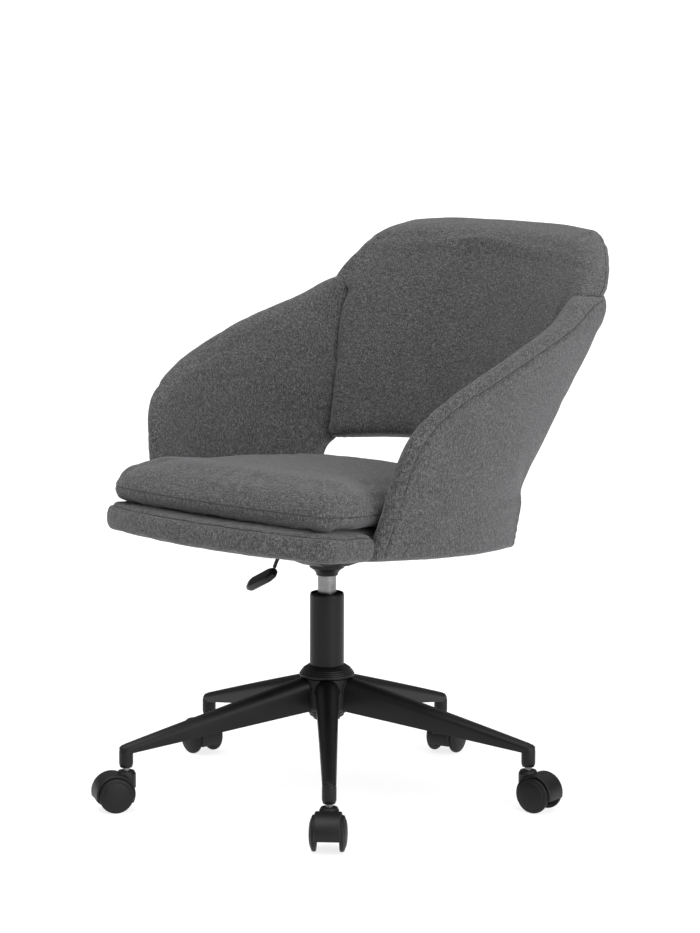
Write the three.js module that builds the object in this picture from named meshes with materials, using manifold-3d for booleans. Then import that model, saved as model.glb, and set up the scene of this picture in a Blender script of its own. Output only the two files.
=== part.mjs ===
// Swivel office chair: a padded tub seat on a gas lift, with a five-legged base on twin-wheel casters.
// Millimetres, +Z up, the chair faces -Y. The origin is on the floor below the middle of the chair's box.
import * as THREE from "three";
import { mergeVertices } from "three/addons/utils/BufferGeometryUtils.js";
import Module from "manifold-3d";

const wasm = await Module();
wasm.setup();

// ---------------------------------------------------------------- driving dimensions
const GAP = 0.3; // clearance between pieces that touch or nest
const COLUMN = new THREE.Vector3(13, -49, 0); // the lift's axis, seen from the origin

const LEG_COUNT = 5;
const FIRST_LEG = 0.762; // turn of the first leg from -Y towards +X, radians
const STEM_RADIUS = 317; // from the lift's axis to each caster's swivel axis
const CASTER_TURNS = [-0.079, -0.305, 0.055, 0.037, -0.0155]; // how far each caster has swung off its leg
const CASTER_TRAIL = 20;

const WHEEL = { radius: 26.5, sides: 20, inner: 17, tread: 23, outer: 28 };
const HOOD = { radius: 30, halfWidth: 16.5, lip: 19.5, bossRadius: 14.5, bossTop: 60.5, cut: 17.5 };
const STEM = { radius: 5.5, bottom: 42, top: 97 };
const SOCKET = { radius: 10.6, bottom: 65, top: 101 };
const BUSH = { outer: 7.6, inner: 5.8 };

const HUB = { radius: 36, bottom: 117, floor: 131, top: 180 };
const TUBE = { radius: 26, inner: 23.4, bottom: 131.3, top: 313 };
const GUIDE = { inner: 14.3, bottom: 222, flange: 310 };
const LIFT = { radius: 14, bore: 11, bottom: 165, taper: 342, top: 372, tipRadius: 12.6 };
const ROD = { radius: 5, bottom: 121, top: 330, head: 10.6 };
const PIN = { radius: 3.6, bottom: 362, top: 377.5 };

const SEAT_TILT = 0.08; // the seat plane falls this much for each unit towards the back
const SEAT_Z = 394.5; // the seat plane's height on the lift's axis
const BASE = { front: 288, corner: 257, half: 236, neck: 149, thick: 42 };
const CUSHION = { front: 272, corner: 251, half: 228, back: 196, bottom: 43, top: 107 };
const ARM = { thick: 27, bulge: 27, swell: 12 };
const BACK = { bottom: 508, top: 858, wide: 259, shoulder: 765.5, arch: 12 };

const MATERIALS = {
  fabric: new THREE.MeshStandardMaterial({ color: 0x5a5a5c, roughness: 0.95, metalness: 0 }),
  plastic: new THREE.MeshStandardMaterial({ color: 0x1c1c1d, roughness: 0.45, metalness: 0 }),
  wheel: new THREE.MeshStandardMaterial({ color: 0x181819, roughness: 0.5, metalness: 0 }),
  painted: new THREE.MeshStandardMaterial({ color: 0x202022, roughness: 0.4, metalness: 0.3 }),
  steel: new THREE.MeshStandardMaterial({ color: 0xa6a6a8, roughness: 0.3, metalness: 1 }),
  wood: new THREE.MeshStandardMaterial({ color: 0xb48a5a, roughness: 0.8, metalness: 0 }),
  lining: new THREE.MeshStandardMaterial({ color: 0x151515, roughness: 1, metalness: 0 }),
};

// ---------------------------------------------------------------- solids and booleans
function toSolid(geometry) {
  const bare = geometry.clone();
  bare.deleteAttribute("normal");
  bare.deleteAttribute("uv");
  const merged = mergeVertices(bare, 1e-4);
  return new wasm.Manifold(
    new wasm.Mesh({
      numProp: 3,
      vertProperties: new Float32Array(merged.attributes.position.array),
      triVerts: new Uint32Array(merged.index.array),
    }),
  );
}

function toGeometry(made) {
  const mesh = made.getMesh();
  const geometry = new THREE.BufferGeometry();
  const places = new Float32Array(mesh.numVert * 3);
  for (let i = 0; i < mesh.numVert; i++)
    places.set(mesh.vertProperties.subarray(i * mesh.numProp, i * mesh.numProp + 3), i * 3);
  geometry.setAttribute("position", new THREE.BufferAttribute(places, 3));
  geometry.setIndex(new THREE.BufferAttribute(mesh.triVerts, 1));
  return geometry;
}

const join = (first, ...rest) => toGeometry(rest.reduce((a, b) => a.add(toSolid(b)), toSolid(first)));
const cut = (first, ...rest) => toGeometry(rest.reduce((a, b) => a.subtract(toSolid(b)), toSolid(first)));

// A solid of revolution about Z from (radius, height) pairs that run up the outside.
function turned(profile, sides = 24) {
  const points = profile.map(([r, z]) => new THREE.Vector2(r, z));
  return new THREE.LatheGeometry(points, sides).rotateX(Math.PI / 2);
}

// A tube wall about Z: outer and inner are (radius, height) pairs, both from the bottom up.
function turnedRing(outer, inner, sides = 24) {
  return turned([...outer, ...inner.slice().reverse(), outer[0]], sides);
}

// A closed solid through rings of equal length, each listed anticlockwise seen from the loft's far end.
function lofted(rings) {
  const count = rings[0].length;
  const places = rings.flat().flatMap((p) => [p.x, p.y, p.z]);
  const faces = [];
  for (let k = 0; k + 1 < rings.length; k++)
    for (let i = 0; i < count; i++) {
      const j = (i + 1) % count;
      const [a, b, c, d] = [k * count + i, k * count + j, (k + 1) * count + j, (k + 1) * count + i];
      faces.push(a, b, c, a, c, d);
    }
  const last = (rings.length - 1) * count;
  for (let i = 1; i + 1 < count; i++) {
    faces.push(0, i + 1, i);
    faces.push(last, last + i, last + i + 1);
  }
  const geometry = new THREE.BufferGeometry();
  geometry.setAttribute("position", new THREE.Float32BufferAttribute(places, 3));
  return geometry.setIndex(faces);
}

// A thick sheet: outer(s, t) and inner(s, t) give its two faces for s and t from 0 to 1.
function sheet(outer, inner, across, up) {
  const places = [];
  const faces = [];
  const at = (side, i, j) => side * (across + 1) * (up + 1) + j * (across + 1) + i;
  for (const face of [outer, inner])
    for (let j = 0; j <= up; j++)
      for (let i = 0; i <= across; i++) places.push(...face(i / across, j / up).toArray());
  const quad = (a, b, c, d) => faces.push(a, b, c, a, c, d);
  for (let j = 0; j < up; j++)
    for (let i = 0; i < across; i++) {
      quad(at(0, i, j), at(0, i + 1, j), at(0, i + 1, j + 1), at(0, i, j + 1));
      quad(at(1, i, j), at(1, i, j + 1), at(1, i + 1, j + 1), at(1, i + 1, j));
    }
  for (let i = 0; i < across; i++) {
    quad(at(0, i + 1, 0), at(0, i, 0), at(1, i, 0), at(1, i + 1, 0));
    quad(at(0, i, up), at(0, i + 1, up), at(1, i + 1, up), at(1, i, up));
  }
  for (let j = 0; j < up; j++) {
    quad(at(0, 0, j), at(0, 0, j + 1), at(1, 0, j + 1), at(1, 0, j));
    quad(at(0, across, j + 1), at(0, across, j), at(1, across, j), at(1, across, j + 1));
  }
  const geometry = new THREE.BufferGeometry();
  geometry.setAttribute("position", new THREE.Float32BufferAttribute(places, 3));
  return geometry.setIndex(faces);
}

// A flat plan shape raised from z = low to z = high, its edges eased by a small bevel when asked.
function raised(points, low, high, ease = 0) {
  const shape = new THREE.Shape(points);
  const geometry = new THREE.ExtrudeGeometry(shape, {
    depth: high - low - 2 * ease,
    bevelEnabled: ease > 0,
    bevelThickness: ease,
    bevelSize: ease,
    bevelOffset: -ease,
    bevelSegments: 2,
    curveSegments: 8,
  });
  return geometry.translate(0, 0, low + ease);
}

function part(name, geometry, material) {
  const mesh = new THREE.Mesh(geometry, MATERIALS[material]);
  mesh.name = name;
  return mesh;
}

// ---------------------------------------------------------------- five-legged base
// One leg lies along +X: an arched section that tapers from the hub to a socket for the caster's stem.
function legGeometry() {
  const stations = [
    { x: 37, low: 132, high: 184, half: 18 },
    { x: 180, low: 109, high: 145, half: 14.5 },
    { x: STEM_RADIUS, low: 86, high: SOCKET.top, half: 10.4 },
    { x: STEM_RADIUS + 8, low: 84, high: SOCKET.top - 2, half: 6.5 },
  ];
  const rings = stations.map(({ x, low, high, half }) => {
    const spring = high - half * 0.9;
    const ring = [new THREE.Vector3(x, -half * 0.86, low), new THREE.Vector3(x, half * 0.86, low)];
    for (let k = 0; k <= 8; k++) {
      const turn = (Math.PI * k) / 8;
      ring.push(new THREE.Vector3(x, half * Math.cos(turn), spring + (high - spring) * Math.sin(turn)));
    }
    return ring;
  });
  const socket = turned(
    [
      [0, SOCKET.bottom],
      [8.6, SOCKET.bottom],
      [SOCKET.radius, SOCKET.bottom + 4],
      [SOCKET.radius, SOCKET.top - 6],
      [0, SOCKET.top - 1],
    ],
    16,
  ).translate(STEM_RADIUS, 0, 0);
  const bore = turned([[0, 60], [BUSH.outer + GAP, 60], [BUSH.outer + GAP, 99], [0, 99]], 12);
  return cut(join(lofted(rings), socket), bore.translate(STEM_RADIUS, 0, 0));
}

function hubGeometry() {
  const seat = TUBE.radius + GAP;
  return turnedRing(
    [
      [21, HUB.bottom],
      [27, HUB.bottom + 5],
      [31, HUB.bottom + 11],
      [HUB.radius - 0.4, HUB.bottom + 17],
      [HUB.radius - 0.4, HUB.top],
    ],
    [
      [13, HUB.bottom],
      [13, HUB.floor],
      [seat, HUB.floor],
      [seat, HUB.top],
    ],
    24,
  );
}

function collarGeometry() {
  const inner = TUBE.radius + GAP;
  const outer = [
    [42, 184.5],
    [42, 188],
    [38.5, 193],
    [33, 198],
    [28, 201.5],
  ];
  return turnedRing(outer, [[inner, 184.5], [inner, 201.5]], 24);
}

function base() {
  const group = new THREE.Group();
  group.add(part("base_hub", hubGeometry(), "painted"));
  group.add(part("hub_collar", collarGeometry(), "plastic"));
  for (let k = 0; k < LEG_COUNT; k++) {
    const arm = new THREE.Group();
    arm.rotation.z = legAngle(k);
    arm.add(part(`base_leg_${k + 1}`, legGeometry(), "painted"));
    const bush = turnedRing(
      [[BUSH.outer, 65.5], [BUSH.outer, 98]],
      [[BUSH.inner, 65.5], [BUSH.inner, 98]],
      12,
    );
    bush.translate(STEM_RADIUS, 0, 0);
    arm.add(part(`stem_bush_${k + 1}`, bush, "plastic"));
    group.add(arm);
  }
  return group;
}

// Leg k's direction as a turn from +X.
function legAngle(k) {
  return FIRST_LEG - Math.PI / 2 + (2 * Math.PI * k) / LEG_COUNT;
}

// ---------------------------------------------------------------- casters
// A caster stands on the floor with its swivel axis on Z and its wheels behind it, towards +X.
function hoodGeometry() {
  const drum = turned([[0, -HOOD.halfWidth], [HOOD.radius, -HOOD.halfWidth], [HOOD.radius, HOOD.halfWidth],
    [0, HOOD.halfWidth]], 20).rotateX(Math.PI / 2).translate(CASTER_TRAIL, 0, WHEEL.radius + 1.2);
  const rim = turnedRing(
    [[HOOD.radius, -HOOD.lip], [HOOD.radius, HOOD.lip]],
    [[HOOD.radius - 2, -HOOD.lip], [HOOD.radius - 2, HOOD.lip]],
    20,
  ).rotateX(Math.PI / 2).translate(CASTER_TRAIL, 0, WHEEL.radius + 1.2);
  const boss = turned([[0, 36], [HOOD.bossRadius, 36], [HOOD.bossRadius, HOOD.bossTop - 3],
    [HOOD.bossRadius - 3, HOOD.bossTop], [0, HOOD.bossTop]], 14);
  const below = new THREE.BoxGeometry(90, 60, 40).rotateY(-0.12).translate(CASTER_TRAIL, 0, HOOD.cut - 20);
  const axle = new THREE.CylinderGeometry(3 + GAP, 3 + GAP, 60, 12).translate(CASTER_TRAIL, 0, WHEEL.radius);
  const stem = turned([[0, STEM.bottom - GAP], [STEM.radius + GAP, STEM.bottom - GAP],
    [STEM.radius + GAP, 70], [0, 70]], 12);
  const wheels = [-1, 1].map((side) =>
    new THREE.CylinderGeometry(WHEEL.radius + 0.9, WHEEL.radius + 0.9, 30, 20)
      .translate(CASTER_TRAIL, side * (WHEEL.inner - GAP + 15), WHEEL.radius),
  );
  return cut(join(drum, rim, boss), below, axle, stem, ...wheels);
}

// One wheel: a tread with a domed outer face and a bore for the axle, standing on one of its facets.
function wheelGeometry(side) {
  const rim = WHEEL.radius / Math.cos(Math.PI / WHEEL.sides);
  const wheel = turned(
    [
      [0, WHEEL.tread + 1.5],
      [3 + GAP, WHEEL.tread + 1.5],
      [3 + GAP, WHEEL.inner],
      [rim, WHEEL.inner],
      [rim, WHEEL.tread],
      [rim - 5, WHEEL.tread + 3.2],
      [0, WHEEL.outer],
    ],
    WHEEL.sides,
  );
  wheel.rotateZ(Math.PI / WHEEL.sides);
  return wheel.rotateX(-side * Math.PI / 2).translate(CASTER_TRAIL, 0, WHEEL.radius);
}

function caster(k) {
  const group = new THREE.Group();
  const away = legAngle(k);
  group.position.set(STEM_RADIUS * Math.cos(away), STEM_RADIUS * Math.sin(away), 0);
  group.rotation.z = away + CASTER_TURNS[k];
  const stem = turned([[0, STEM.bottom], [STEM.radius, STEM.bottom], [STEM.radius, STEM.top - 1.5],
    [STEM.radius - 1.5, STEM.top], [0, STEM.top]], 12);
  const axle = new THREE.CylinderGeometry(3, 3, 2 * (WHEEL.tread + 1.2), 12);
  const n = k + 1;
  group.add(part(`caster_hood_${n}`, hoodGeometry(), "plastic"));
  group.add(part(`caster_stem_${n}`, stem, "steel"));
  group.add(part(`caster_axle_${n}`, axle.translate(CASTER_TRAIL, 0, WHEEL.radius), "steel"));
  group.add(part(`wheel_left_${n}`, wheelGeometry(1), "wheel"));
  group.add(part(`wheel_right_${n}`, wheelGeometry(-1), "wheel"));
  return group;
}

// ---------------------------------------------------------------- gas lift
function gasLift() {
  const group = new THREE.Group();
  const tube = turnedRing(
    [[TUBE.radius, TUBE.bottom], [TUBE.radius, TUBE.top - 3], [TUBE.radius - 2.6, TUBE.top]],
    [[13, TUBE.bottom], [13, TUBE.bottom + 4], [TUBE.inner, TUBE.bottom + 4], [TUBE.inner, TUBE.top]],
    24,
  );
  const guide = turnedRing(
    [[TUBE.inner - GAP, GUIDE.bottom], [TUBE.inner - GAP, GUIDE.flange]],
    [[GUIDE.inner, GUIDE.bottom], [GUIDE.inner, GUIDE.flange]],
  );
  const bearing = turnedRing(
    [[12, TUBE.bottom + 4.3], [12, TUBE.bottom + 12]],
    [[ROD.radius + GAP, TUBE.bottom + 4.3], [ROD.radius + GAP, TUBE.bottom + 12]],
    20,
  );
  const rod = turned([[0, ROD.bottom], [ROD.radius, ROD.bottom], [ROD.radius, ROD.top - 12],
    [ROD.head, ROD.top - 12], [ROD.head, ROD.top], [0, ROD.top]], 20);
  const clip = turnedRing(
    [[10.5, 123], [10.5, 124.5]],
    [[ROD.radius + GAP, 123], [ROD.radius + GAP, 124.5]],
    20,
  );
  const cylinder = turnedRing(
    [[LIFT.radius, LIFT.bottom], [LIFT.radius, LIFT.taper], [LIFT.tipRadius, LIFT.top]],
    [
      [ROD.radius + GAP, LIFT.bottom],
      [ROD.radius + GAP, LIFT.bottom + 6],
      [LIFT.bore, LIFT.bottom + 6],
      [LIFT.bore, LIFT.taper + 12],
      [PIN.radius + GAP, LIFT.taper + 12],
      [PIN.radius + GAP, LIFT.top],
    ],
    24,
  );
  const pin = turned([[0, PIN.bottom], [PIN.radius, PIN.bottom], [PIN.radius, PIN.top], [0, PIN.top]], 16);
  group.add(part("gas_outer_tube", tube, "painted"));
  group.add(part("column_guide_bush", guide, "plastic"));
  group.add(part("thrust_bearing", bearing, "steel"));
  group.add(part("piston_rod", rod, "steel"));
  group.add(part("rod_clip", clip, "steel"));
  group.add(part("gas_cylinder", cylinder, "steel"));
  group.add(part("release_pin", pin, "steel"));
  return group;
}

// ---------------------------------------------------------------- seat mechanism and lever
const BOLT_SPOTS = [[-62, -66], [62, -66], [-62, 66], [62, 66]];
const LEVER = { radius: 3, height: 381.2, end: -111, drop: -44 };

// The seat's own frame: z = 0 is the seat plane, tilted down towards the back about the lift's axis.
function tilted(geometry) {
  return geometry.rotateX(-Math.atan(SEAT_TILT)).translate(0, 0, SEAT_Z);
}

function box(x0, x1, y0, y1, z0, z1) {
  return new THREE.BoxGeometry(x1 - x0, y1 - y0, z1 - z0)
    .translate((x0 + x1) / 2, (y0 + y1) / 2, (z0 + z1) / 2);
}

// A pressed pan about Z through levels of [half width, half depth, height], from the bottom up.
function pan(levels) {
  return lofted(levels.map(([x, y, z]) =>
    [[-x, -y], [x, -y], [x, y], [-x, y]].map(([a, b]) => new THREE.Vector3(a, b, z)),
  ));
}

function mechanismGeometry() {
  const tray = tilted(pan([[22, 27, -40], [33, 48, -32], [40, 62, -18], [40, 62, 0]]));
  const inside = tilted(pan([[19, 24, -37], [30.5, 45.5, -29.5], [37.5, 59.5, -16], [37.5, 59.5, 5]]));
  const flange = tilted(box(-78, 78, -82, 82, -3, 0));
  const opening = tilted(box(-37.5, 37.5, -59.5, 59.5, -20, 5));
  const neck = turned([[0, 339.5], [16.4, 339.5], [17.5, 344], [21, 348], [27, 352], [27, 360], [0, 368]], 24);
  const socket = turned([[0, 330], [LIFT.radius + GAP, 330], [LIFT.radius + GAP, LIFT.taper],
    [LIFT.tipRadius + GAP, LIFT.top], [LIFT.tipRadius + GAP, 380], [0, 380]], 24);
  const slot = box(-86, -30, -5.5, 5.5, LEVER.height - 6, SEAT_Z + 8);
  const holes = BOLT_SPOTS.map(([x, y]) =>
    tilted(new THREE.CylinderGeometry(3.4, 3.4, 20, 12).rotateX(Math.PI / 2).translate(x, y, 0)),
  );
  const shell = cut(tray, inside);
  return cut(join(cut(join(shell, flange), opening), neck), socket, slot, ...holes);
}

// The lever's rod runs from above the release pin out through the tray's side, then bends down.
function leverRodGeometry() {
  const route = new THREE.CatmullRomCurve3([
    new THREE.Vector3(2, 0, LEVER.height),
    new THREE.Vector3(-30, 0, LEVER.height),
    new THREE.Vector3(-66, 0, LEVER.height - 1),
    new THREE.Vector3(-88, 0, LEVER.height - 9),
    new THREE.Vector3(-104, 0, LEVER.height - 30),
    new THREE.Vector3(LEVER.end, 0, LEVER.height + LEVER.drop),
  ]);
  const section = new THREE.Shape().absarc(0, 0, LEVER.radius, 0, 2 * Math.PI);
  return new THREE.ExtrudeGeometry(section, { steps: 24, curveSegments: 4, extrudePath: route });
}

// The paddle is a faceted plate on the rod's end, drooping outwards.
function leverPaddleGeometry() {
  const plan = [[0, -8], [12, -14], [52, -14], [64, -8], [64, 8], [52, 14], [12, 14], [0, 8]]
    .map(([x, y]) => new THREE.Vector2(x, y));
  const plate = raised(plan, -6.5, 6.5, 3.2);
  plate.rotateX(-0.75).rotateY(Math.PI - 0.48);
  plate.translate(LEVER.end + 1, 0, LEVER.height + LEVER.drop - 7.5);
  const tip = new THREE.Vector3(LEVER.end, 0, LEVER.height + LEVER.drop);
  const above = tip.clone().add(new THREE.Vector3(15, 0, 27));
  const below = tip.clone().add(new THREE.Vector3(-2, 0, -3.6));
  const section = new THREE.Shape().absarc(0, 0, LEVER.radius + 2, 0, 2 * Math.PI);
  const route = new THREE.LineCurve3(above, below);
  const bore = new THREE.ExtrudeGeometry(section, { steps: 1, curveSegments: 4, extrudePath: route });
  return cut(plate, bore);
}

function mechanism() {
  const group = new THREE.Group();
  group.add(part("mechanism_housing", mechanismGeometry(), "painted"));
  group.add(part("lever_rod", leverRodGeometry(), "painted"));
  group.add(part("lever_paddle", leverPaddleGeometry(), "plastic"));
  BOLT_SPOTS.forEach(([x, y], k) => {
    const bolt = turned([[0, -8], [5.5, -8], [5.5, -3.4], [3, -3.4], [3, 12], [0, 12]], 12);
    group.add(part(`seat_bolt_${k + 1}`, tilted(bolt.translate(x, y, 0)), "steel"));
  });
  return group;
}

// ---------------------------------------------------------------- padded shell
// The shell's rear corner runs up and back, steeply above the seat and nearly upright by the shoulder.
function rearEdgeY(z) {
  if (z < 474) return 206.3 - (474 - z) * 0.16 + 6.5 * THREE.MathUtils.smoothstep(462 - z, 0, 10);
  if (z < 600) return 206.3 + (z - 474) * 0.6325;
  return z < 715 ? 286 + (z - 600) * 0.548 : 349 + (z - 715) * 0.2;
}
function rearEdgeX(z) {
  if (z < 474) return 198 - (474 - z) * 0.07;
  return z < 600 ? 198 + (z - 474) * 0.0786 : 207.9 + (z - 600) * 0.158;
}
const frontX = (z) => 248 + 0.25 * (z - 510);
const FRONT_Y = -120;

// Distance of an arm panel's middle from the chair's middle plane.
function armX(y, z) {
  const u = (y - FRONT_Y) / (rearEdgeY(z) - FRONT_Y);
  return frontX(z) * (1 - u) + rearEdgeX(z) * u + 4 * ARM.bulge * u * (1 - u);
}

const seatPlane = (y) => SEAT_Z - SEAT_TILT * y;
const pair = ([y, z]) => new THREE.Vector2(y, z);
const ARM_EDGE = new THREE.SplineCurve(
  [
    [-147, 404],
    [-137, 464],
    [-126, 538],
    [-111, 582],
    [-85, 613],
    [-46, 638],
    [-6, 657],
    [81, 690],
    [208, 730],
    [291, 754],
    [357, 764],
  ].map(pair),
);
const ARM_CORNER = 0.4; // where the edge's front stretch gives way to its top stretch
const ARM_REAR = { low: 379, high: 764 };

// Where that opening meets an arm's inner face: low edge, spring and rise of its rounded end, and its slant.
const OPENING = { low: 456, spring: 478, rise: 27.5, middle: 223, reach: 40, face: 197, slant: 1.7 };

// The arm panel's outline in side view, filled by a blend of its four edges.
function armOutline(s, t) {
  const front = ARM_EDGE.getPoint(ARM_CORNER * t);
  const top = ARM_EDGE.getPoint(ARM_CORNER + (1 - ARM_CORNER) * s);
  const rearZ = ARM_REAR.low + (ARM_REAR.high - ARM_REAR.low) * t;
  const rear = new THREE.Vector2(rearEdgeY(rearZ), rearZ);
  const foot = new THREE.Vector2(rearEdgeY(ARM_REAR.low), ARM_REAR.low);
  const toe = ARM_EDGE.getPoint(0);
  const low = toe.clone().lerp(foot, s);
  const corner = (a, b, c, d) => (1 - s) * (1 - t) * a + s * (1 - t) * b + (1 - s) * t * c + s * t * d;
  const mixed = (key) =>
    (1 - t) * low[key] + t * top[key] + (1 - s) * front[key] + s * rear[key] -
    corner(toe[key], foot[key], ARM_EDGE.getPoint(ARM_CORNER)[key], ARM_EDGE.getPoint(1)[key]);
  return [mixed("x"), mixed("y")];
}

// The panel grows thicker on its outer face towards the shoulder.
function armSwell(y, z) {
  const back = THREE.MathUtils.clamp((y - FRONT_Y) / (rearEdgeY(z) - FRONT_Y), 0, 1);
  return ARM.swell * back ** 2 * THREE.MathUtils.clamp((z - 450) / 250, 0, 1);
}

function armFace(side, shift) {
  return (s, t) => {
    const [y, z] = armOutline(s, t);
    return new THREE.Vector3(side * (armX(y, z) + shift(y, z)), y, z);
  };
}

// The opening under the back is cut on the slant through each arm's rear corner and rounded at its top.
function openingTool(side) {
  const front = OPENING.middle - OPENING.reach;
  const outline = [[300, OPENING.low], [front, OPENING.low]];
  for (let k = 0; k <= 6; k++) {
    const turn = (Math.PI / 2) * (k / 6);
    outline.push([OPENING.middle - OPENING.reach * Math.cos(turn), OPENING.spring + OPENING.rise * Math.sin(turn)]);
  }
  outline.push([300, OPENING.spring + OPENING.rise]);
  if (side > 0) outline.reverse();
  const ring = (x) => outline.map(([y, z]) =>
    new THREE.Vector3(side * x, y + (x - OPENING.face) * OPENING.slant, z),
  );
  return lofted([ring(150), ring(260)]);
}

function armGeometry(side) {
  const outer = armFace(side, (y, z) => ARM.thick / 2 + armSwell(y, z));
  const inner = armFace(side, () => -ARM.thick / 2);
  const panel = side > 0 ? sheet(outer, inner, 14, 10) : sheet(inner, outer, 14, 10);
  return cut(panel, openingTool(side));
}

// The back pad: its front face wraps round the sitter less and less towards the top.
const backFrontY = (z) => (z < 800 ? 235 + (z - 510) * 0.415 : 355.4 + (z - 800) * 0.3);
const backWrap = (z) => 0.00118 - 1.9e-11 * (z - BACK.bottom) ** 3;
const backThick = (z) => THREE.MathUtils.mapLinear(z, BACK.bottom, BACK.top, 40, 62);

// Half the pad's width where the arm panels, or above them the pad's own outline, leave room at depth y.
function backSpan(y, z) {
  if (z < BACK.shoulder) return armX(Math.min(y, rearEdgeY(z)), z) - ARM.thick / 2 - 2.4;
  const wide = BACK.wide - (z < 800 ? (z - BACK.shoulder) * 0.45 : 15.5 + (z - 800) ** 2 * 0.027);
  return wide - 0.1 * Math.max(0, y - backFrontY(z) + 30);
}

// One level of the back pad, as a ring of points: the rear face first, then the front face.
function backRing(z, inset) {
  const across = 12;
  const ring = [];
  const faceY = (x) => backFrontY(z) - backWrap(z) * x * x;
  const sweep = (half, depth) => {
    for (let k = 0; k <= across; k++) {
      const along = 1 - (2 * k) / across;
      const x = along * (half - Math.sign(half) * inset);
      const lift = BACK.arch * (1 - along ** 2) * Math.max(0, 1 - (z - BACK.bottom) / 60);
      ring.push(new THREE.Vector3(x, faceY(x) + depth(Math.abs(along) ** 6, x), z + lift));
    }
  };
  const edgeY = faceY(backSpan(backFrontY(z) - 40, z));
  const flatter = z < BACK.shoulder ? 0 : 0.4 * backWrap(z);
  sweep(backSpan(edgeY + backThick(z), z), (end, x) => backThick(z) + flatter * x * x - inset - 5 * end);
  sweep(-backSpan(edgeY + 16, z), (end) => inset + 3 * end);
  return ring;
}

function backGeometry() {
  const heights = [520, 560, 600, 640, 680, 720, 748, BACK.shoulder - 0.6];
  const upper = [BACK.shoulder, 785, 800, 815, 830, 842, 850];
  return lofted([
    backRing(BACK.bottom, 6),
    ...heights.map((z) => backRing(z, 0)),
    ...upper.map((z) => backRing(z, 0)),
    backRing(855, 9),
    backRing(BACK.top, 20),
  ]);
}

// The plan of the seat base: wide in front of the arms, narrow between them, bowed at the front.
function basePlan() {
  const shape = new THREE.Shape();
  const side = BASE.half;
  const inner = (y) => armX(y, seatPlane(y)) - ARM.thick / 2 - 1.2;
  shape.moveTo(-inner(-BASE.neck + 2), -BASE.neck);
  shape.lineTo(-side, -BASE.neck);
  shape.lineTo(-side, -BASE.neck - 40);
  shape.quadraticCurveTo(-side - 1, -BASE.corner + 2, -side + 50, -BASE.corner - 6);
  shape.quadraticCurveTo(0, -2 * BASE.front + BASE.corner + 6, side - 50, -BASE.corner - 6);
  shape.quadraticCurveTo(side + 1, -BASE.corner + 2, side, -BASE.neck - 40);
  shape.lineTo(side, -BASE.neck);
  shape.lineTo(inner(-BASE.neck + 2), -BASE.neck);
  for (const y of [-90, -30, 30, 90, 140, 168]) shape.lineTo(inner(y), y);
  shape.quadraticCurveTo(0, 204, -inner(168), 168);
  for (const y of [140, 90, 30, -30, -90]) shape.lineTo(-inner(y), y);
  return shape.getPoints(10);
}

function boardPlan(inset) {
  const x = 165 - inset;
  const points = [[-x, 120], [-x, -150], [-x + 40, -200], [x - 40, -200], [x, -150], [x, 120]];
  return points.map(([a, b]) => new THREE.Vector2(a, b - Math.sign(b) * inset)).reverse();
}

function seatBaseGeometry() {
  const block = raised(basePlan(), 0, BASE.thick, 7);
  const recess = raised(boardPlan(-1), -5, 14.2);
  return tilted(cut(block, recess));
}

function cushionGeometry() {
  const shape = new THREE.Shape();
  const half = CUSHION.half;
  const room = (y) => 5 + 11 * THREE.MathUtils.smoothstep(-y, 20, 130);
  const side = (y) => Math.min(half, armX(y, seatPlane(y) + 60) - ARM.thick / 2 - room(y));
  const front = -CUSHION.corner;
  shape.moveTo(-side(-140), -140);
  shape.lineTo(-half, -170);
  shape.quadraticCurveTo(-half - 1, front + 4, -half + 44, front - 2);
  shape.quadraticCurveTo(0, -2 * CUSHION.front + CUSHION.corner, half - 44, front - 2);
  shape.quadraticCurveTo(half + 1, front + 4, half, -170);
  shape.lineTo(side(-140), -140);
  for (const y of [-80, -20, 40, 90, 130]) shape.lineTo(side(y), y);
  shape.quadraticCurveTo(side(130) - 6, 156, side(130) - 34, 162);
  shape.quadraticCurveTo(0, CUSHION.back + 24, -side(130) + 34, 162);
  shape.quadraticCurveTo(-side(130) + 6, 156, -side(130), 130);
  for (const y of [90, 40, -20, -80]) shape.lineTo(-side(y), y);
  return tilted(raised(shape.getPoints(6), CUSHION.bottom, CUSHION.top, 11));
}

// A padded rail closes the tub behind the cushion, between the two arm panels.
function railGeometry() {
  const edge = (s, z, deep) => {
    const y = rearEdgeY(z) - 22;
    const half = armX(y, z) - ARM.thick / 2 - 1.5;
    const x = half * (2 * s - 1);
    const bow = 48 * (1 - (2 * s - 1) ** 2);
    return new THREE.Vector3(x, y + bow - deep, z);
  };
  const height = (t) => 381 + (452 - 381) * t;
  const outer = (s, t) => edge(1 - s, height(t), 0);
  const inner = (s, t) => edge(1 - s, height(t), 17);
  return cut(sheet(outer, inner, 12, 3), tilted(raised(basePlan().map((p) => p.clone()
    .multiplyScalar(1.004)), -8, BASE.thick + 1)));
}

function upholstery() {
  const group = new THREE.Group();
  const bores = BOLT_SPOTS.map(([x, y]) =>
    new THREE.CylinderGeometry(3.4, 3.4, 60, 12).rotateX(Math.PI / 2).translate(x, y, 0),
  );
  const cover = cut(raised(boardPlan(4), 0.3, 1.3), ...bores);
  const board = cut(raised(boardPlan(1), 1.6, 13.6), ...bores);
  group.add(part("dust_cover", tilted(cover), "lining"));
  group.add(part("seat_board", tilted(board), "wood"));
  group.add(part("seat_base", seatBaseGeometry(), "fabric"));
  group.add(part("seat_cushion", cushionGeometry(), "fabric"));
  group.add(part("rear_rail", railGeometry(), "fabric"));
  group.add(part("arm_left", armGeometry(-1), "fabric"));
  group.add(part("arm_right", armGeometry(1), "fabric"));
  group.add(part("backrest", backGeometry(), "fabric"));
  return group;
}

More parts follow.
